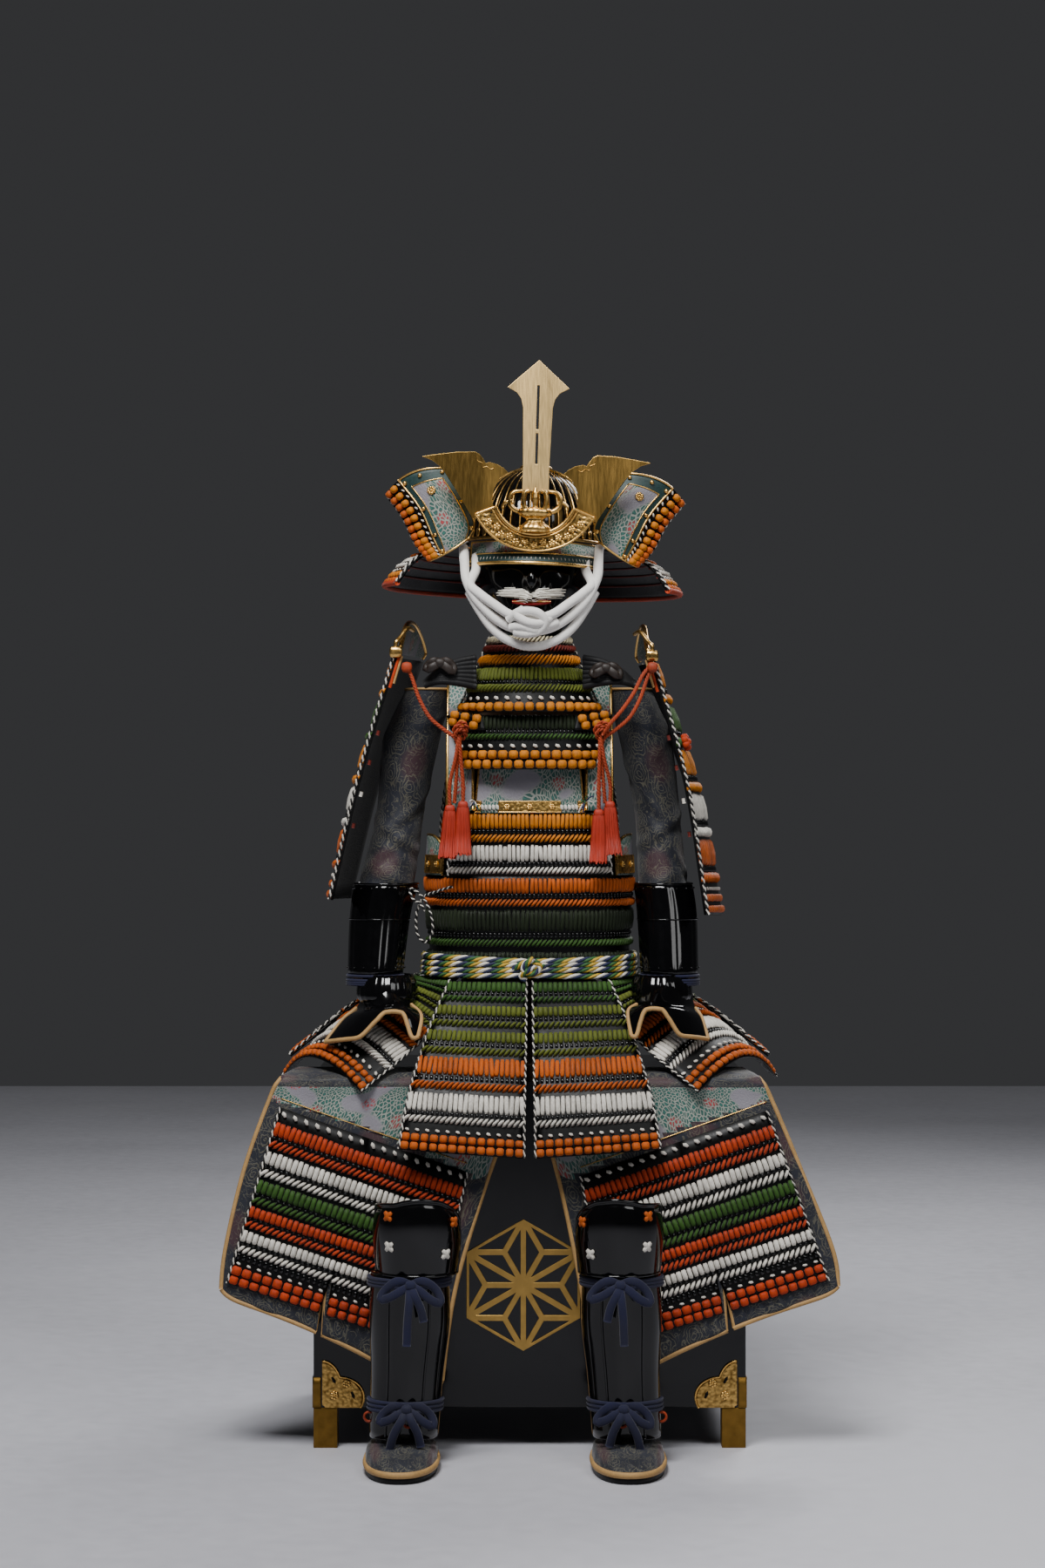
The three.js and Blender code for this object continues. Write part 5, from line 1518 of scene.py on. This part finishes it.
for side, s in sign_of.items():
    cloth = side_piece(thigh_rows[side], side)
    left = side == "left"
    column = 27 if left else 33
    slit_u = column / 60

    def hem_end(u):
        """The hem rises in a small curve at both corners."""
        u = np.asarray(u)
        return 1 - 0.035 * (np.exp(-u / 0.03) + np.exp(-(1 - u) / 0.03))

    apron = part_of(cloth, v1=hem_end)
    inner = middles(60) if left else 1 - middles(60)
    down = middles(72)
    strip = (down[:, None] > 0.3) & (down[:, None] < 0.39 + 0.2 * inner[None])
    crumple = 0.0012 * np.sin(np.linspace(0, 23, 61))[None] * np.sin(np.linspace(0, 17, 73))[:, None]
    crease = 0.2 + 0.04 * np.sin(np.linspace(0, 9, 61))[None]
    crumple += 0.0025 * np.exp(-((np.linspace(0, 1, 73)[:, None] - crease) / 0.02) ** 2)
    apron_piece = shell(f"thigh_guard_{side}_cloth", apron, (60, 72), 0.005, ["brocade", "printed_leather"],
                        strip.astype(int), lining="dull_lacquer", relief=crumple, slit=(column, 62, SLIT_GAP),
                        nodes=(f"thigh_guard_{side}",))
    middle = moved_out(apron, -0.0025)
    slit_v = np.linspace(62 / 72, 1, 20)
    piping = edge_tubes(middle, "lr", 0.0038, ends=(0.2, 1))
    for way in (-1, 1):
        part = np.linspace(0, 1, 20)
        along = frames_on(middle, slit_u, slit_v)[0]
        path = middle(slit_u, slit_v) + way * along * (SLIT_GAP * part + 0.0016)[:, None]
        piping.append(tube(path, 0.003, 7, up=frames_on(middle, slit_u, slit_v)[2]))
    for start, end in ((0, slit_u - 0.012), (slit_u + 0.012, 1)):
        piping.append(edge_tube(middle, 1.0, 0.0038, ends=(start, end)))
    pipes = tubes(f"thigh_guard_{side}_piping", piping, "tan_leather")
    corners = laced_corners[side] if left else [laced_corners[side][k] for k in (1, 0, 3, 2)]
    patch = on_cloth(cloth, corners, s, 0.0045)
    middle_u = 0.475 if left else 0.525

    def parted(near, far, way):
        """The patch between two values of u, where the slit's edge draws back over the last quarter."""

        def at(u, v):
            u, v = grid(u, v)
            back = 0.018 * np.clip((v - 0.74) / 0.26, 0, 1)
            start = near + (back if way > 0 else 0)
            end = far - (back if way < 0 else 0)
            return patch(start + (end - start) * u, v)

        return at

    outer_lacing, inner_lacing = (
        laced(f"thigh_guard_{side}_{mark}", half, thigh_bands, 0.0086, wall=0.003, node=False, edges=(edge,),
              bead=0.0155, bead_rise=0.0045)
        for mark, half, edge in (("a", parted(0.0, middle_u, -1), 0), ("b", parted(middle_u, 1.0, 1), 1)))
    seam = on_cloth(cloth, [(x, z + 14) for x, z in corners], s, 0.0008)
    tubes(f"thigh_guard_{side}_seam", [tube(seam(np.linspace(0, 1, 80), np.zeros(80)), 0.0009, 5,
                                            up=(0, 1, 0))], "gold")
    wide = np.linalg.norm(cloth(1.0, np.linspace(0, 1, 9)) - cloth(0.0, np.linspace(0, 1, 9)), axis=-1)
    long = length_of(cloth(0.5, np.linspace(0, 1, 60)))
    print(f"thigh guard {side}: width {wide.min():.3f} to {wide.max():.3f}, length {long:.3f}")

# %% [markdown]
# Knee plates, shin guards and shoes. The knee plate's top edge rises in a soft wave to its middle, and four
# crossed knots hold its lining. The shin guard is three long plates; the shoe is brocade on a dark sole.

# %% Knees, shins and shoes
leg_x = {"left": {"knee": 174, "shin": 186, "ankle": 192, "shoe": 197},
         "right": {"knee": 138, "shin": 142, "ankle": 147, "shoe": 151}}
TOE_Y = -385 + 124.5


def bow(name, centre, size, finish, tails, slot="silk_lacing"):
    """Two drooping loops, a knot and hanging tails, each given by its length and its sideways reach."""
    x, y, z = centre
    parts = []
    for way, droop in ((-1, 0.8), (1, 1.0)):
        turns = [(0, -4, 0), (0.5, -12, 0.16), (0.95, -8, -0.2), (1.08, -11, -0.62 * droop),
                 (0.74, -15, -0.5 * droop), (0.3, -14, -0.16), (0, -8, -0.04)]
        loop = [[x + way * size * a, y + b * MM, z + size * c] for a, b, c in turns]
        parts.append(tube(line(loop, 0.004), 0.0068, 8, (0, 1, 0), flat=0.0022 / 0.0068))
    parts.append(knot((x, y - 0.01, z), [0.009, 0.007, 0.008]))
    tubes(name, parts, finish, slot=slot)
    for k, (long, reach) in enumerate(tails):
        path = line([[x + 0.002 * (k - 0.5), y - 0.012, z - 0.004],
                     [x + reach * 0.3, y - 0.019, z - long * 0.25],
                     [x + reach * 0.75, y - 0.017, z - long * 0.6], [x + reach, y - 0.012, z - long]], 0.004)
        tail = tubes(f"{name}_tail_{k}", [tube(path, 0.0066, 8, (0, 1, 0), flat=0.38)], finish, slot=slot)


for side, s in sign_of.items():
    x = {key: s * value for key, value in leg_x[side].items()}
    whole = round_surface([[416, x["knee"], -236, 60, 58, -84, 84], [392, x["knee"], -236, 64, 60, -84, 84],
                           [350, x["knee"], -234, 66, 62, -84, 84], [297, x["knee"], -230, 62, 58, -84, 84]])
    wave_top = rounded_steps([0, 0.1, 0.21, 0.31, 0.4, 0.53, 0.64, 0.72, 0.8, 0.87, 1.0],
                             [0.22, 0.19, 0.16, 0.135, 0.065, 0.02, 0.05, 0.09, 0.19, 0.29, 0.46])
    knee = part_of(whole, v0=wave_top if side == "left" else turned(wave_top))
    uu, vv = cell_corners(72, 32)
    dish = 0.002 * np.sin(vv * math.pi) - 0.0016 * np.exp(-((vv - 0.1) / 0.05) ** 2)
    shell(f"knee_plate_{side}_form", knee, (72, 32), IRON_WALL, "black_lacquer", relief=dish,
          lining="dull_lacquer", nodes=(f"knee_plate_{side}",))
    tubes(f"knee_plate_{side}_roll", [edge_tube(knee, 0.0, 0.0028, count=90),
                                      edge_tube(knee, 0.0, 0.0024, False),
                                      edge_tube(knee, 1.0, 0.0024, False), edge_tube(knee, 1.0, 0.002)],
          "black_lacquer")
    knots, kinds = [], []
    for degrees, z, kind in ((-40, 373, 0), (58, 362, 0), (-37, 331, 1), (42, 322, 1)):
        u = (s * -degrees + 84) / 168
        v = (416 - z) / 119
        across, down, normal = frames_on(whole, u, v)
        for turn in (0.8, -0.75):
            way = across * math.cos(turn) + down * math.sin(turn)
            basis = np.stack([way, np.cross(normal, way), normal])[None]
            knots.append(placed(*BEAD, (whole(u, v) + normal * 0.003)[None], basis,
                                [[0.0098, 0.0038, 0.0032]]))
            kinds.append(kind)
    tubes(f"knee_plate_{side}_knots", knots, ["silk_orange", "silk_white"], kinds)
    shin = round_surface([[296, x["shin"], -226, 58, 50, -94, 94], [220, x["shin"], -222, 60, 52, -94, 94],
                          [140, x["ankle"] - s * 2, -222, 54, 48, -94, 94],
                          [45, x["ankle"] + s * 3, -228, 51, 47, -94, 94]])
    facets = 0.0035 * np.abs(np.cos((uu[0] * 3) % 1 * math.pi - math.pi / 2)) ** 0.6
    shell(f"shin_guard_{side}_plates", shin, (72, 24), IRON_WALL, "black_lacquer", relief=facets,
          lining="brown_leather", nodes=(f"shin_guard_{side}",))
    seams = [edge_tube(shin, u, 0.0018, False, out=0.0008) for u in (1 / 3, 2 / 3)]
    seams += [edge_tube(shin, v, 0.0024) for v in (0.0, 1.0)]
    tubes(f"shin_guard_{side}_seams", seams, "black_lacquer")
    tubes(f"shin_guard_{side}_lining_edge", [edge_tube(shin, u, 0.0036, False, out=-0.001)
                                             for u in (0.0, 1.0)], "tan_leather")
    for label, v0, size, tails in (("upper", 0.03, 0.042, ((0.092, s * 0.006), (0.055, s * -0.02))),
                                   ("lower", 0.81, 0.038, ((0.062, s * 0.026), (0.056, s * -0.022)))):
        bands = []
        for k in range(3):
            v = v0 + 0.022 * k
            ring = moved_out(shin, 0.0045)(np.linspace(0, 1, 60), np.full(60, v))
            bands.append(tube(ring, 0.0034, 6, (0, 0, 1)))
        tubes(f"{label}_tie_{side}", bands, "navy_cloth")
        front = shin(0.5, v0 + 0.02) + [s * -0.004, -0.008, 0]
        bow(f"{label}_bow_{side}", front, size, "navy_cloth", tails)

    shoe_rows = [[66, x["shoe"], -228, 40, 38], [39, x["shoe"], -230, 41, 39], [31, x["shoe"], -246, 53, 98],
                 [13, x["shoe"], TOE_Y, 56, 124]]
    upper = round_surface([row + [-180, 180] for row in shoe_rows], 2.3)
    puckers = 0.0008 * np.sin(np.linspace(0, 34 * math.pi, 97))[None] * np.linspace(0, 1, 25)[:, None]
    middle_line = np.exp(-((np.linspace(-1, 1, 97) / 0.035) ** 2))[None]
    centre_seam = 0.002 * middle_line * np.sin(np.linspace(0, 2.6, 25))[:, None]
    shell(f"shoe_{side}_upper", upper, (96, 24), 0.004, "brocade", relief=puckers + centre_seam, around=True,
          lining="brown_leather", nodes=(f"shoe_{side}",))
    ring = np.linspace(0, 1, 97)[:-1]
    sole_top, sole_low = upper(ring, 1.0), upper(ring, 1.0) * [1, 1, 0]
    heart = np.array([[x["shoe"] * MM, TOE_Y * MM, 0.013], [x["shoe"] * MM, TOE_Y * MM, 0.0]])
    points = np.vstack([sole_top, heart[1] + (sole_low - heart[1]) * 0.985, heart])
    number = np.arange(96)
    after = np.roll(number, -1)
    walls = np.stack([number, number + 96, after + 96, after], -1)
    top_fan = np.stack([np.full(96, 192), number, after], -1)
    low_fan = np.stack([np.full(96, 193), after + 96, number + 96], -1)
    make(f"shoe_{side}_sole", points, [walls, np.vstack([top_fan, low_fan])], "dull_lacquer",
         slot="black_lacquered_iron")
    welt = [tube(line(upper(np.linspace(0, 1, 120), 1.0) + [0, 0, 0.001], 0.004), 0.0034, 7, (0, 0, 1),
                 closed=True, flat=1.5)]
    tubes(f"shoe_{side}_welt", welt, "tan_leather")
    mouth = [tube(line(upper(np.linspace(0, 1, 90), 0.0), 0.004), 0.0028, 7, (0, 0, 1), closed=True)]
    tubes(f"shoe_{side}_mouth", mouth, "tan_leather")
    loops = []
    for dx, y in ((-s * 0.006, -0.2835), (s * 0.056, -0.238)):
        centre = np.array([x["ankle"] * MM + dx, y, 0.074])
        turn = np.linspace(0, 2 * math.pi, 25)
        loops.append(tube(centre + 0.0075 * np.stack([np.cos(turn), 0 * turn - 0.1 * np.sin(turn),
                                                      np.sin(turn)], -1), 0.0022, 7, (0, 1, 0), closed=True))
    tubes(f"shoe_{side}_loops", loops, "orange_cord")
print("legs made")

# %% [markdown]
# The chest keeps its CAD shape with softened edges. Chased gold plates guard its lower corners in front and
# behind: each is a quarter whose free edge is a row of small arcs, with two dark holes and two flowers.
# A brass strip goes round each corner beside them.

# %% Chest
bevelled("chest_body", "chest_lacquer", 0.0022)
bevelled("chest_lid", "chest_lacquer", 0.0026)
# The legs take the darker brass, whose colour is painted shade.
for end in ("front", "back"):
    for side in both_sides:
        bevelled(f"chest_leg_{end}_{side}", "old_brass", 0.0012)
bevelled("chest_emblem", "dull_gold", 0.0006)
chest_low, chest_high = (np.array(corner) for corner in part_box("chest_body"))
FRONT_Y = chest_low[1]
# Width of the brass strip on the face, beside the chased plate.
BRACKET = 0.014


def corner_plate(side, end):
    """A cloud-edged quarter beside the strip: a turns from 0 to 90 degrees, and the free edge's radius is
    52 + 13 |sin 3a| + 9 (cos^6 a + sin^6 a), in mm."""
    s = sign_of[side]
    out_x = (chest_low if side == "left" else chest_high)[0] - s * BRACKET
    face_y = FRONT_Y - 0.0004 if end == "front" else chest_high[1] + 0.0004

    def at(u, v):
        u, v = grid(u, v)
        turn = u * math.pi / 2
        ends = np.abs(np.cos(turn)) ** 6 + np.abs(np.sin(turn)) ** 6
        reach = (0.052 + 0.013 * np.abs(np.sin(3 * turn)) + 0.009 * ends) * v
        return np.stack([out_x - s * reach * np.cos(turn), np.full(u.shape, face_y),
                         chest_low[2] + reach * np.sin(turn)], -1)

    outward = -1 if end == "front" else 1
    return at if frames_on(at, 0.5, 0.6)[2][1] * outward > 0 else turned(at)


def corner_strip(side, outwards):
    """A brass strip bent round the corner, from 14 mm in on the face to 50 mm back on the side."""
    s = sign_of[side]
    face_y = (FRONT_Y if outwards < 0 else chest_high[1]) + outwards * 0.0016
    edge_x = (chest_low if side == "left" else chest_high)[0] + s * 0.0016
    path = np.array([[edge_x - s * BRACKET, face_y], [edge_x - s * 0.001, face_y],
                     [edge_x, face_y - outwards * 0.001], [edge_x, face_y - outwards * 0.05]])
    if s * outwards > 0:
        path = path[::-1]
    reach = run_along(path)
    reach = reach / reach[-1]

    def at(u, v):
        u, v = grid(u, v)
        return np.stack([np.interp(u, reach, path[:, 0]), np.interp(u, reach, path[:, 1]),
                         chest_low[2] + 0.048 * (1 - v)], -1)

    return at


for end in ("front", "back"):
    for side in both_sides:
        raised = part_of(corner_plate(side, end), v0=0.06)
        shell(f"chest_corner_{end}_{side}", moved_out(raised, 0.0016), (48, 14), 0.0014, "carved_gold")
        rims = [edge_tube(moved_out(raised, 0.0016), 1.0, 0.0016, count=80)]
        holes = studs(raised, np.array([0.25, 0.75]), 0.74, 0.0017, [0.0078, 0.0032, 0.0006], DOT)
        make(f"chest_corner_{end}_{side}_holes", *holes, "dull_lacquer", slot="black_lacquered_wood")
        # The corner strip takes the same darker brass, painted shade.
        shell(f"chest_strip_{end}_{side}", corner_strip(side, -1 if end == "front" else 1), (24, 4), 0.0012,
              "old_brass")
        rims += [flower(raised(0.5, v), frames_on(raised, 0.5, v), 6, 0.0042, [0.003, 0.003, 0.002],
                        [0.0022, 0.0022, 0.003], (0.0026, 0.003)) for v in (0.4, 0.86)]
        tubes(f"chest_corner_{end}_{side}_flowers", rims, "gold")
frame["nodes"]["stand"].data.materials.clear()
frame["nodes"]["stand"].data.materials.append(finish_of["stand_wood"])
print("chest made")

# %% [markdown]
# The face mask covers nose, cheeks and chin. It is one lacquered shell with raised nose, cheek folds and
# chin, all sums of soft bumps on an oval wall. The white whiskers are single hairs, combed to each side.

# %% Face mask
mask = round_surface([[1412, 3, 2, 84, 82, -86, 86], [1376, 3, 2, 84, 86, -86, 86],
                      [1340, 3, 2, 78, 84, -84, 84], [1308, 3, 2, 62, 74, -80, 80],
                      [1284, 3, 2, 44, 56, -76, 76]])
uu, vv = cell_corners(72, 48)
side_way = np.abs(uu - 0.5)


def bump(u0, v0, wide, high):
    """A soft bump, exp(-(du / wide)^2 - (dv / high)^2), on both cheeks at once."""
    return np.exp(-(((side_way - u0) / wide) ** 2) - ((vv - v0) / high) ** 2)


features = 0.014 * bump(0, 0.3, 0.05, 0.13) + 0.01 * bump(0, 0.14, 0.035, 0.2)
features += 0.006 * bump(0.09, 0.4, 0.03, 0.06) + 0.006 * bump(0.26, 0.3, 0.09, 0.14)
features += 0.011 * bump(0, 0.86, 0.1, 0.1)
features += 0.004 * bump(0.17, 0.6, 0.05, 0.16) - 0.005 * bump(0.14, 0.42, 0.02, 0.16)
shell("face_mask_form", mask, (72, 48), IRON_WALL, "black_lacquer", relief=features, lining="lip_red",
      nodes=("face_mask",))
tubes("face_mask_rim", [edge_tube(mask, 0.0, 0.0028, count=100), edge_tube(mask, 1.0, 0.0028, count=80)],
      "black_lacquer")


def on_mask(x, z, out=0.0):
    """A point on the mask's oval at x and z, moved out: y = 2 - deep sqrt(1 - (x / across)^2), in metres."""
    across, deep = (np.interp(z, [1284, 1308, 1340, 1376, 1412], values)
                    for values in ([44, 62, 78, 84, 84], [56, 74, 84, 86, 82]))
    return np.stack([x + 3, 2 - (deep + out) * np.sqrt(1 - np.minimum((x / across) ** 2, 0.98)), z], -1) * MM


mouth_x = np.linspace(-30, 30, 40)
upper_lip = on_mask(mouth_x, 1343 - 3 * (mouth_x / 30) ** 2 - 1.5 * np.exp(-((mouth_x / 4) ** 2)), 5)
lower_lip = on_mask(mouth_x, 1336 + 4 * (mouth_x / 30) ** 2, 5)
fringe = on_mask(mouth_x, 1340 + 0 * mouth_x, 6.5)
tubes("face_mask_lips", [tube(upper_lip, 0.0026, 8), tube(lower_lip, 0.003, 8)], "lip_red",
      slot="black_lacquered_iron")
tubes("face_mask_teeth", [tube(fringe, 0.0016, 6)], "gold")
hairs = []
for s in (-1, 1):
    for k in range(120):
        start, reach, height = rng.uniform(-2, 34), rng.uniform(16, 26), rng.normal(0, 3.2)
        t = np.linspace(0, 1, 5)
        x = s * (start + reach * t)
        z = 1351 + height + 3.5 * (np.abs(x) / 55) + rng.normal(0, 0.6) * t - 2.5 * (np.abs(x) < 8)
        hairs.append(tube(on_mask(x, z, 10 + rng.uniform(-2.5, 3) - np.abs(x) / 16),
                          0.0012 * (1.05 - 0.5 * t), 4, (0, 1, 0)))
tubes("face_mask_whiskers", hairs, "white_hair")

# %% [markdown]
# The chin cord is a soft padded cotton rope. It leaves the helmet at one temple, passes under the chin and
# goes back at the other. A second turn over the cheeks and a third below it meet in a flat knot.

# %% Chin cord
CHIN_RADIUS = 0.0075


def mirrored_route(points, shift=0.0):
    """A route given on one side to the middle, in mm, carried on to the other side."""
    points = np.array(points, float)
    other = points[::-1][1:] * [-1, 1, 1]
    return (np.vstack([points, other]) + [shift, 0, 0]) * MM


chin_route = mirrored_route([[-109, -36, 1430], [-107, -56, 1404], [-104, -76, 1376], [-88, -92, 1344],
                             [-62, -103, 1316], [-32, -108, 1298], [0, -110, 1292]], 3)
chin_path = line(chin_route, 0.004)
soft = 1 + 0.05 * np.sin(np.linspace(0, 37, len(chin_path)))
chin = tubes("chin_cord_strand", [tube(chin_path, CHIN_RADIUS * soft, 12)], "white_cotton",
             nodes=("chin_cord",))
over = line(mirrored_route([[-88, -30, 1416], [-88, -54, 1392], [-97, -82, 1368], [-82, -99, 1352],
                            [-58, -110, 1334], [-32, -119, 1317], [0, -123, 1311]], 2), 0.004)
below = line(mirrored_route([[-101, -78, 1356], [-84, -88, 1326], [-66, -95, 1300], [-44, -101, 1281],
                             [-18, -104, 1270], [0, -105, 1268]], 4), 0.004)
knot_lines = [line(np.array(points) * MM, 0.003) for points in (
    [[-34, -118, 1310], [-14, -130, 1322], [12, -132, 1320], [24, -128, 1306], [14, -126, 1291],
     [-6, -128, 1287], [-24, -122, 1290]],
    [[32, -119, 1312], [16, -130, 1303], [-4, -135, 1305], [-20, -130, 1316], [-10, -124, 1326]],
    [[-30, -119, 1297], [-12, -130, 1298], [8, -128, 1292], [26, -119, 1299], [44, -112, 1306]],
)]
chin_extra = tubes("chin_cord_turns", [tube(over, CHIN_RADIUS, 12), tube(below, CHIN_RADIUS * 0.95, 12)]
                   + [tube(path, CHIN_RADIUS * 0.95, 12) for path in knot_lines], "white_cotton")

# %% [markdown]
# The belt is one long rope in four colours, wound four times round the waist and tied in front.

# %% Belt
waist = torso_panel([776, 757, 738], -180, 180, 7)
turns = []
for v, lean, start in ((0.14, 0.1, 0), (0.38, -0.08, 43), (0.62, 0.07, 91), (0.86, -0.12, 20)):
    angle = np.roll(np.linspace(0, 1, 151)[:-1], start)
    angle = np.append(angle, angle[0])
    droop = 0.05 * np.exp(-((angle - 0.5) / 0.06) ** 2) * (0.5 - v) * 4
    path = waist(angle, v + lean * np.sin(angle * 4 * math.pi + v * 5) * 0.4 + droop)
    turns += rope(path, 0.0052, 4, 0.046, 5, up=(0, 0, 1), closed=True)
belt_silks = ["belt_w", "belt_y", "belt_g", "belt_n"]
tubes("belt_rope", turns, belt_silks, [k % 4 for k in range(len(turns))], nodes=("belt",), slot="belt_cord")
front = waist(0.5, 0.5)
knot_rope = []
for loop in (
    [[-26, 0, -2], [-8, -9, 8], [8, -13, 10], [16, -10, 0], [4, -12, -9], [-10, -13, -4],
     [-4, -17, 8], [6, -16, 15]],
    [[24, 0, 2], [6, -12, 2], [-6, -15, -6], [-14, -9, -14], [-6, -8, -20]],
):
    knot_rope += rope(line(front + np.array(loop) * MM, 0.003), 0.005, 4, 0.03, 5)
tubes("belt_knot", knot_rope, belt_silks, [k % 4 for k in range(len(knot_rope))])

# %% [markdown]
# Each shoulder cord is a braided silk cord. It hangs in a loop from the shoulder guard to a knot on the
# chest, and two short cords run down from the knot to a pair of tassels.

# %% Shoulder cords and tassels
shoulder_route = np.array([[-197, -63, 1238], [-188, -68, 1220], [-176, -76, 1186], [-159, -82, 1156],
                           [-136, -85, 1136], [-118, -84, 1122], [-114, -82, 1102], [-116, -80, 1072],
                           [-118, -78, 1044], [-120, -76, 1020]])
tassel_places = {"left": [(-127, -79, 1012, -4), (-106, -82, 1018, -1)],
                 "right": [(110, -82, 1005, -1), (128, -78, 1018, 5)]}
CORD_RADIUS = 0.0035


def braided(points):
    """Three strands wound round a line through points, given in mm."""
    return rope(line(points * MM, 0.003), CORD_RADIUS, 3, 0.016, 5)


def tassel(x, y, z, lean):
    """A wrapped neck and a bell of threads: radius 5 mm at the neck to 13 mm at the hem, 78 mm down."""
    top = np.array([x, y, z]) * MM
    parts = [knot(top - [0, 0, 0.002], [0.0085, 0.007, 0.0075])]
    drop = np.array([[0, 0, 0], [0, 0, -0.006], [0, 0, -0.016], [0, 0, -0.045], [0, 0, -0.08]])
    drop[:, 0] += lean * MM * (-drop[:, 2] / 0.08) ** 1.5
    core = line(top + drop, 0.005)
    radius = np.interp(np.linspace(0, 1, len(core)), [0, 0.1, 0.3, 1], [0.006, 0.0085, 0.0095, 0.0105])
    parts.append(tube(core, radius, 10, flat=0.7))
    for k in range(64):
        turn = 2 * math.pi * k / 64 + rng.uniform(-0.04, 0.04)
        out = np.array([math.cos(turn), 0.72 * math.sin(turn), 0])
        spread = np.array([0.0062, 0.0088, 0.0102, 0.0118, 0.0128 + rng.uniform(-0.001, 0.0016)])[:, None]
        path = top + drop * [1, 1, 1 + rng.uniform(-0.04, 0.03)] + out * spread
        parts.append(tube(path, 0.00085, 4))
    return parts


for side, s in sign_of.items():
    route = shoulder_route * [-s, 1, 1]
    path = line(route * MM, 0.003)
    cord = tubes(f"shoulder_cord_{side}_braid", braided(route) + [tube(path, CORD_RADIUS * 0.5, 5)],
                 "orange_cord", nodes=(f"shoulder_cord_{side}",))
    extra = []
    turn = np.linspace(0, 2 * math.pi, 30)
    for tilt in (-0.5, 0.1, 0.7):
        ring = np.stack([0.0085 * np.cos(turn), -0.006 * np.sin(turn) - 0.001,
                         0.0075 * np.sin(turn) + 0.011 * tilt], -1)
        ring = ring @ np.array([[math.cos(tilt), 0, -math.sin(tilt)], [0, 1, 0],
                                [math.sin(tilt), 0, math.cos(tilt)]])
        extra += rope(np.array([s * 0.112, -0.086, 1.134]) + ring, 0.0036, 2, 0.014, 5, closed=True)
    if side == "right":
        extra += braided(route[:6] + [[-3, -3, 2], [-8, -4, 3], [-11, -6, 8], [-12, -8, 12], [-8, -8, 10],
                                      [-3, -6, 6]])
    ends = []
    for x, y, z, lean in tassel_places[side]:
        extra += braided(np.array([[s * 112, -88, 1128], [s * (112 + (x * s - 112) * 0.4), -86, 1090],
                                   [x, y - 2, 1050], [x, y - 1, z]]))
        ends += tassel(x, y, z, lean)
    extra.append(knot((s * 0.196, -0.066, 1.236), [0.009, 0.008, 0.009]))
    knotted = tubes(f"shoulder_cord_{side}_knots", extra, "orange_cord")
    hair = tubes(f"tassels_{side}_threads", ends, "tassel_silk", nodes=(f"tassels_{side}",))
    bow(f"strap_bow_{side}", (s * (0.143 if side == "left" else 0.122), -0.056,
                              1.243 if side == "left" else 1.235), 0.02, "brown_leather", (),
        slot="printed_leather")
    # Black braids run from each strap up to the collar, one above the other.
    starts = [[s * 0.168, -0.05, 1.208], [s * 0.146, -0.058, 1.214], [s * 0.118, -0.058, 1.212],
              [s * 0.086, -0.05, 1.206]]
    spread = np.array([[0, 0.01, 0.004], [0, 0.004, 0.016], [0, 0.004, 0.033], [0, 0.004, 0.046]])
    braids = [tube(line(starts + k * spread, 0.006), 0.0056, 7, (0, 0, 1)) for k in np.linspace(0, 1, 7)]
    tubes(f"strap_braids_{side}", braids, "silk_black")
# The cuirass ties at its right hand side with a cord of black and white silk, left in two loops.
tie_route = np.array([[-124, -56, 886], [-150, -34, 877], [-170, -14, 868], [-182, -10, 842], [-181, -8, 808],
                      [-167, -14, 795], [-156, -24, 812], [-159, -24, 842], [-171, -16, 866], [-186, -8, 879],
                      [-194, -2, 880], [-188, -10, 864], [-177, -20, 858], [-168, -24, 846]]) * MM
tie_path = line(tie_route, 0.003)
tie = tubes("cuirass_tie", rope(tie_path, 0.0024, 3, 0.011, 5), ["silk_white", "silk_black"], [0, 1, 1])
print("cords made")

# %% Floor, light
floor = make("floor", [[-6, -7, 0], [6, -7, 0], [6, 6, 0], [-6, 6, 0]], [[[0, 1, 2, 3]]], "floor_grey")

world = bpy.data.worlds.new("studio")
world.use_nodes = True
world.node_tree.nodes["Background"].inputs[0].default_value = (0.74, 0.75, 0.79, 1)
world.node_tree.nodes["Background"].inputs[1].default_value = 0.05
bpy.context.scene.world = world


def lamp(name, place, aim, size, power):
    """A square soft light of some metres' side that faces a point; its power is in watts."""
    data = bpy.data.lights.new(name, "AREA")
    data.size = size
    data.energy = power
    made = bpy.data.objects.new(name, data)
    bpy.context.collection.objects.link(made)
    made.location = place
    way = np.array(aim, float) - np.array(place, float)
    tilt = math.atan2(math.hypot(way[0], way[1]), -way[2])
    made.rotation_euler = (tilt, 0, math.atan2(way[1], way[0]) - math.pi / 2)


lamp("key", (-0.7, -2.3, 4.4), (0, 0, 0.8), 1.5, 250)
lamp("fill", (2.2, -2.8, 3.6), (0, 0, 0.7), 1.8, 50)
lamp("rim", (1.4, 2.6, 3.0), (0, 0, 1.1), 1.4, 80)
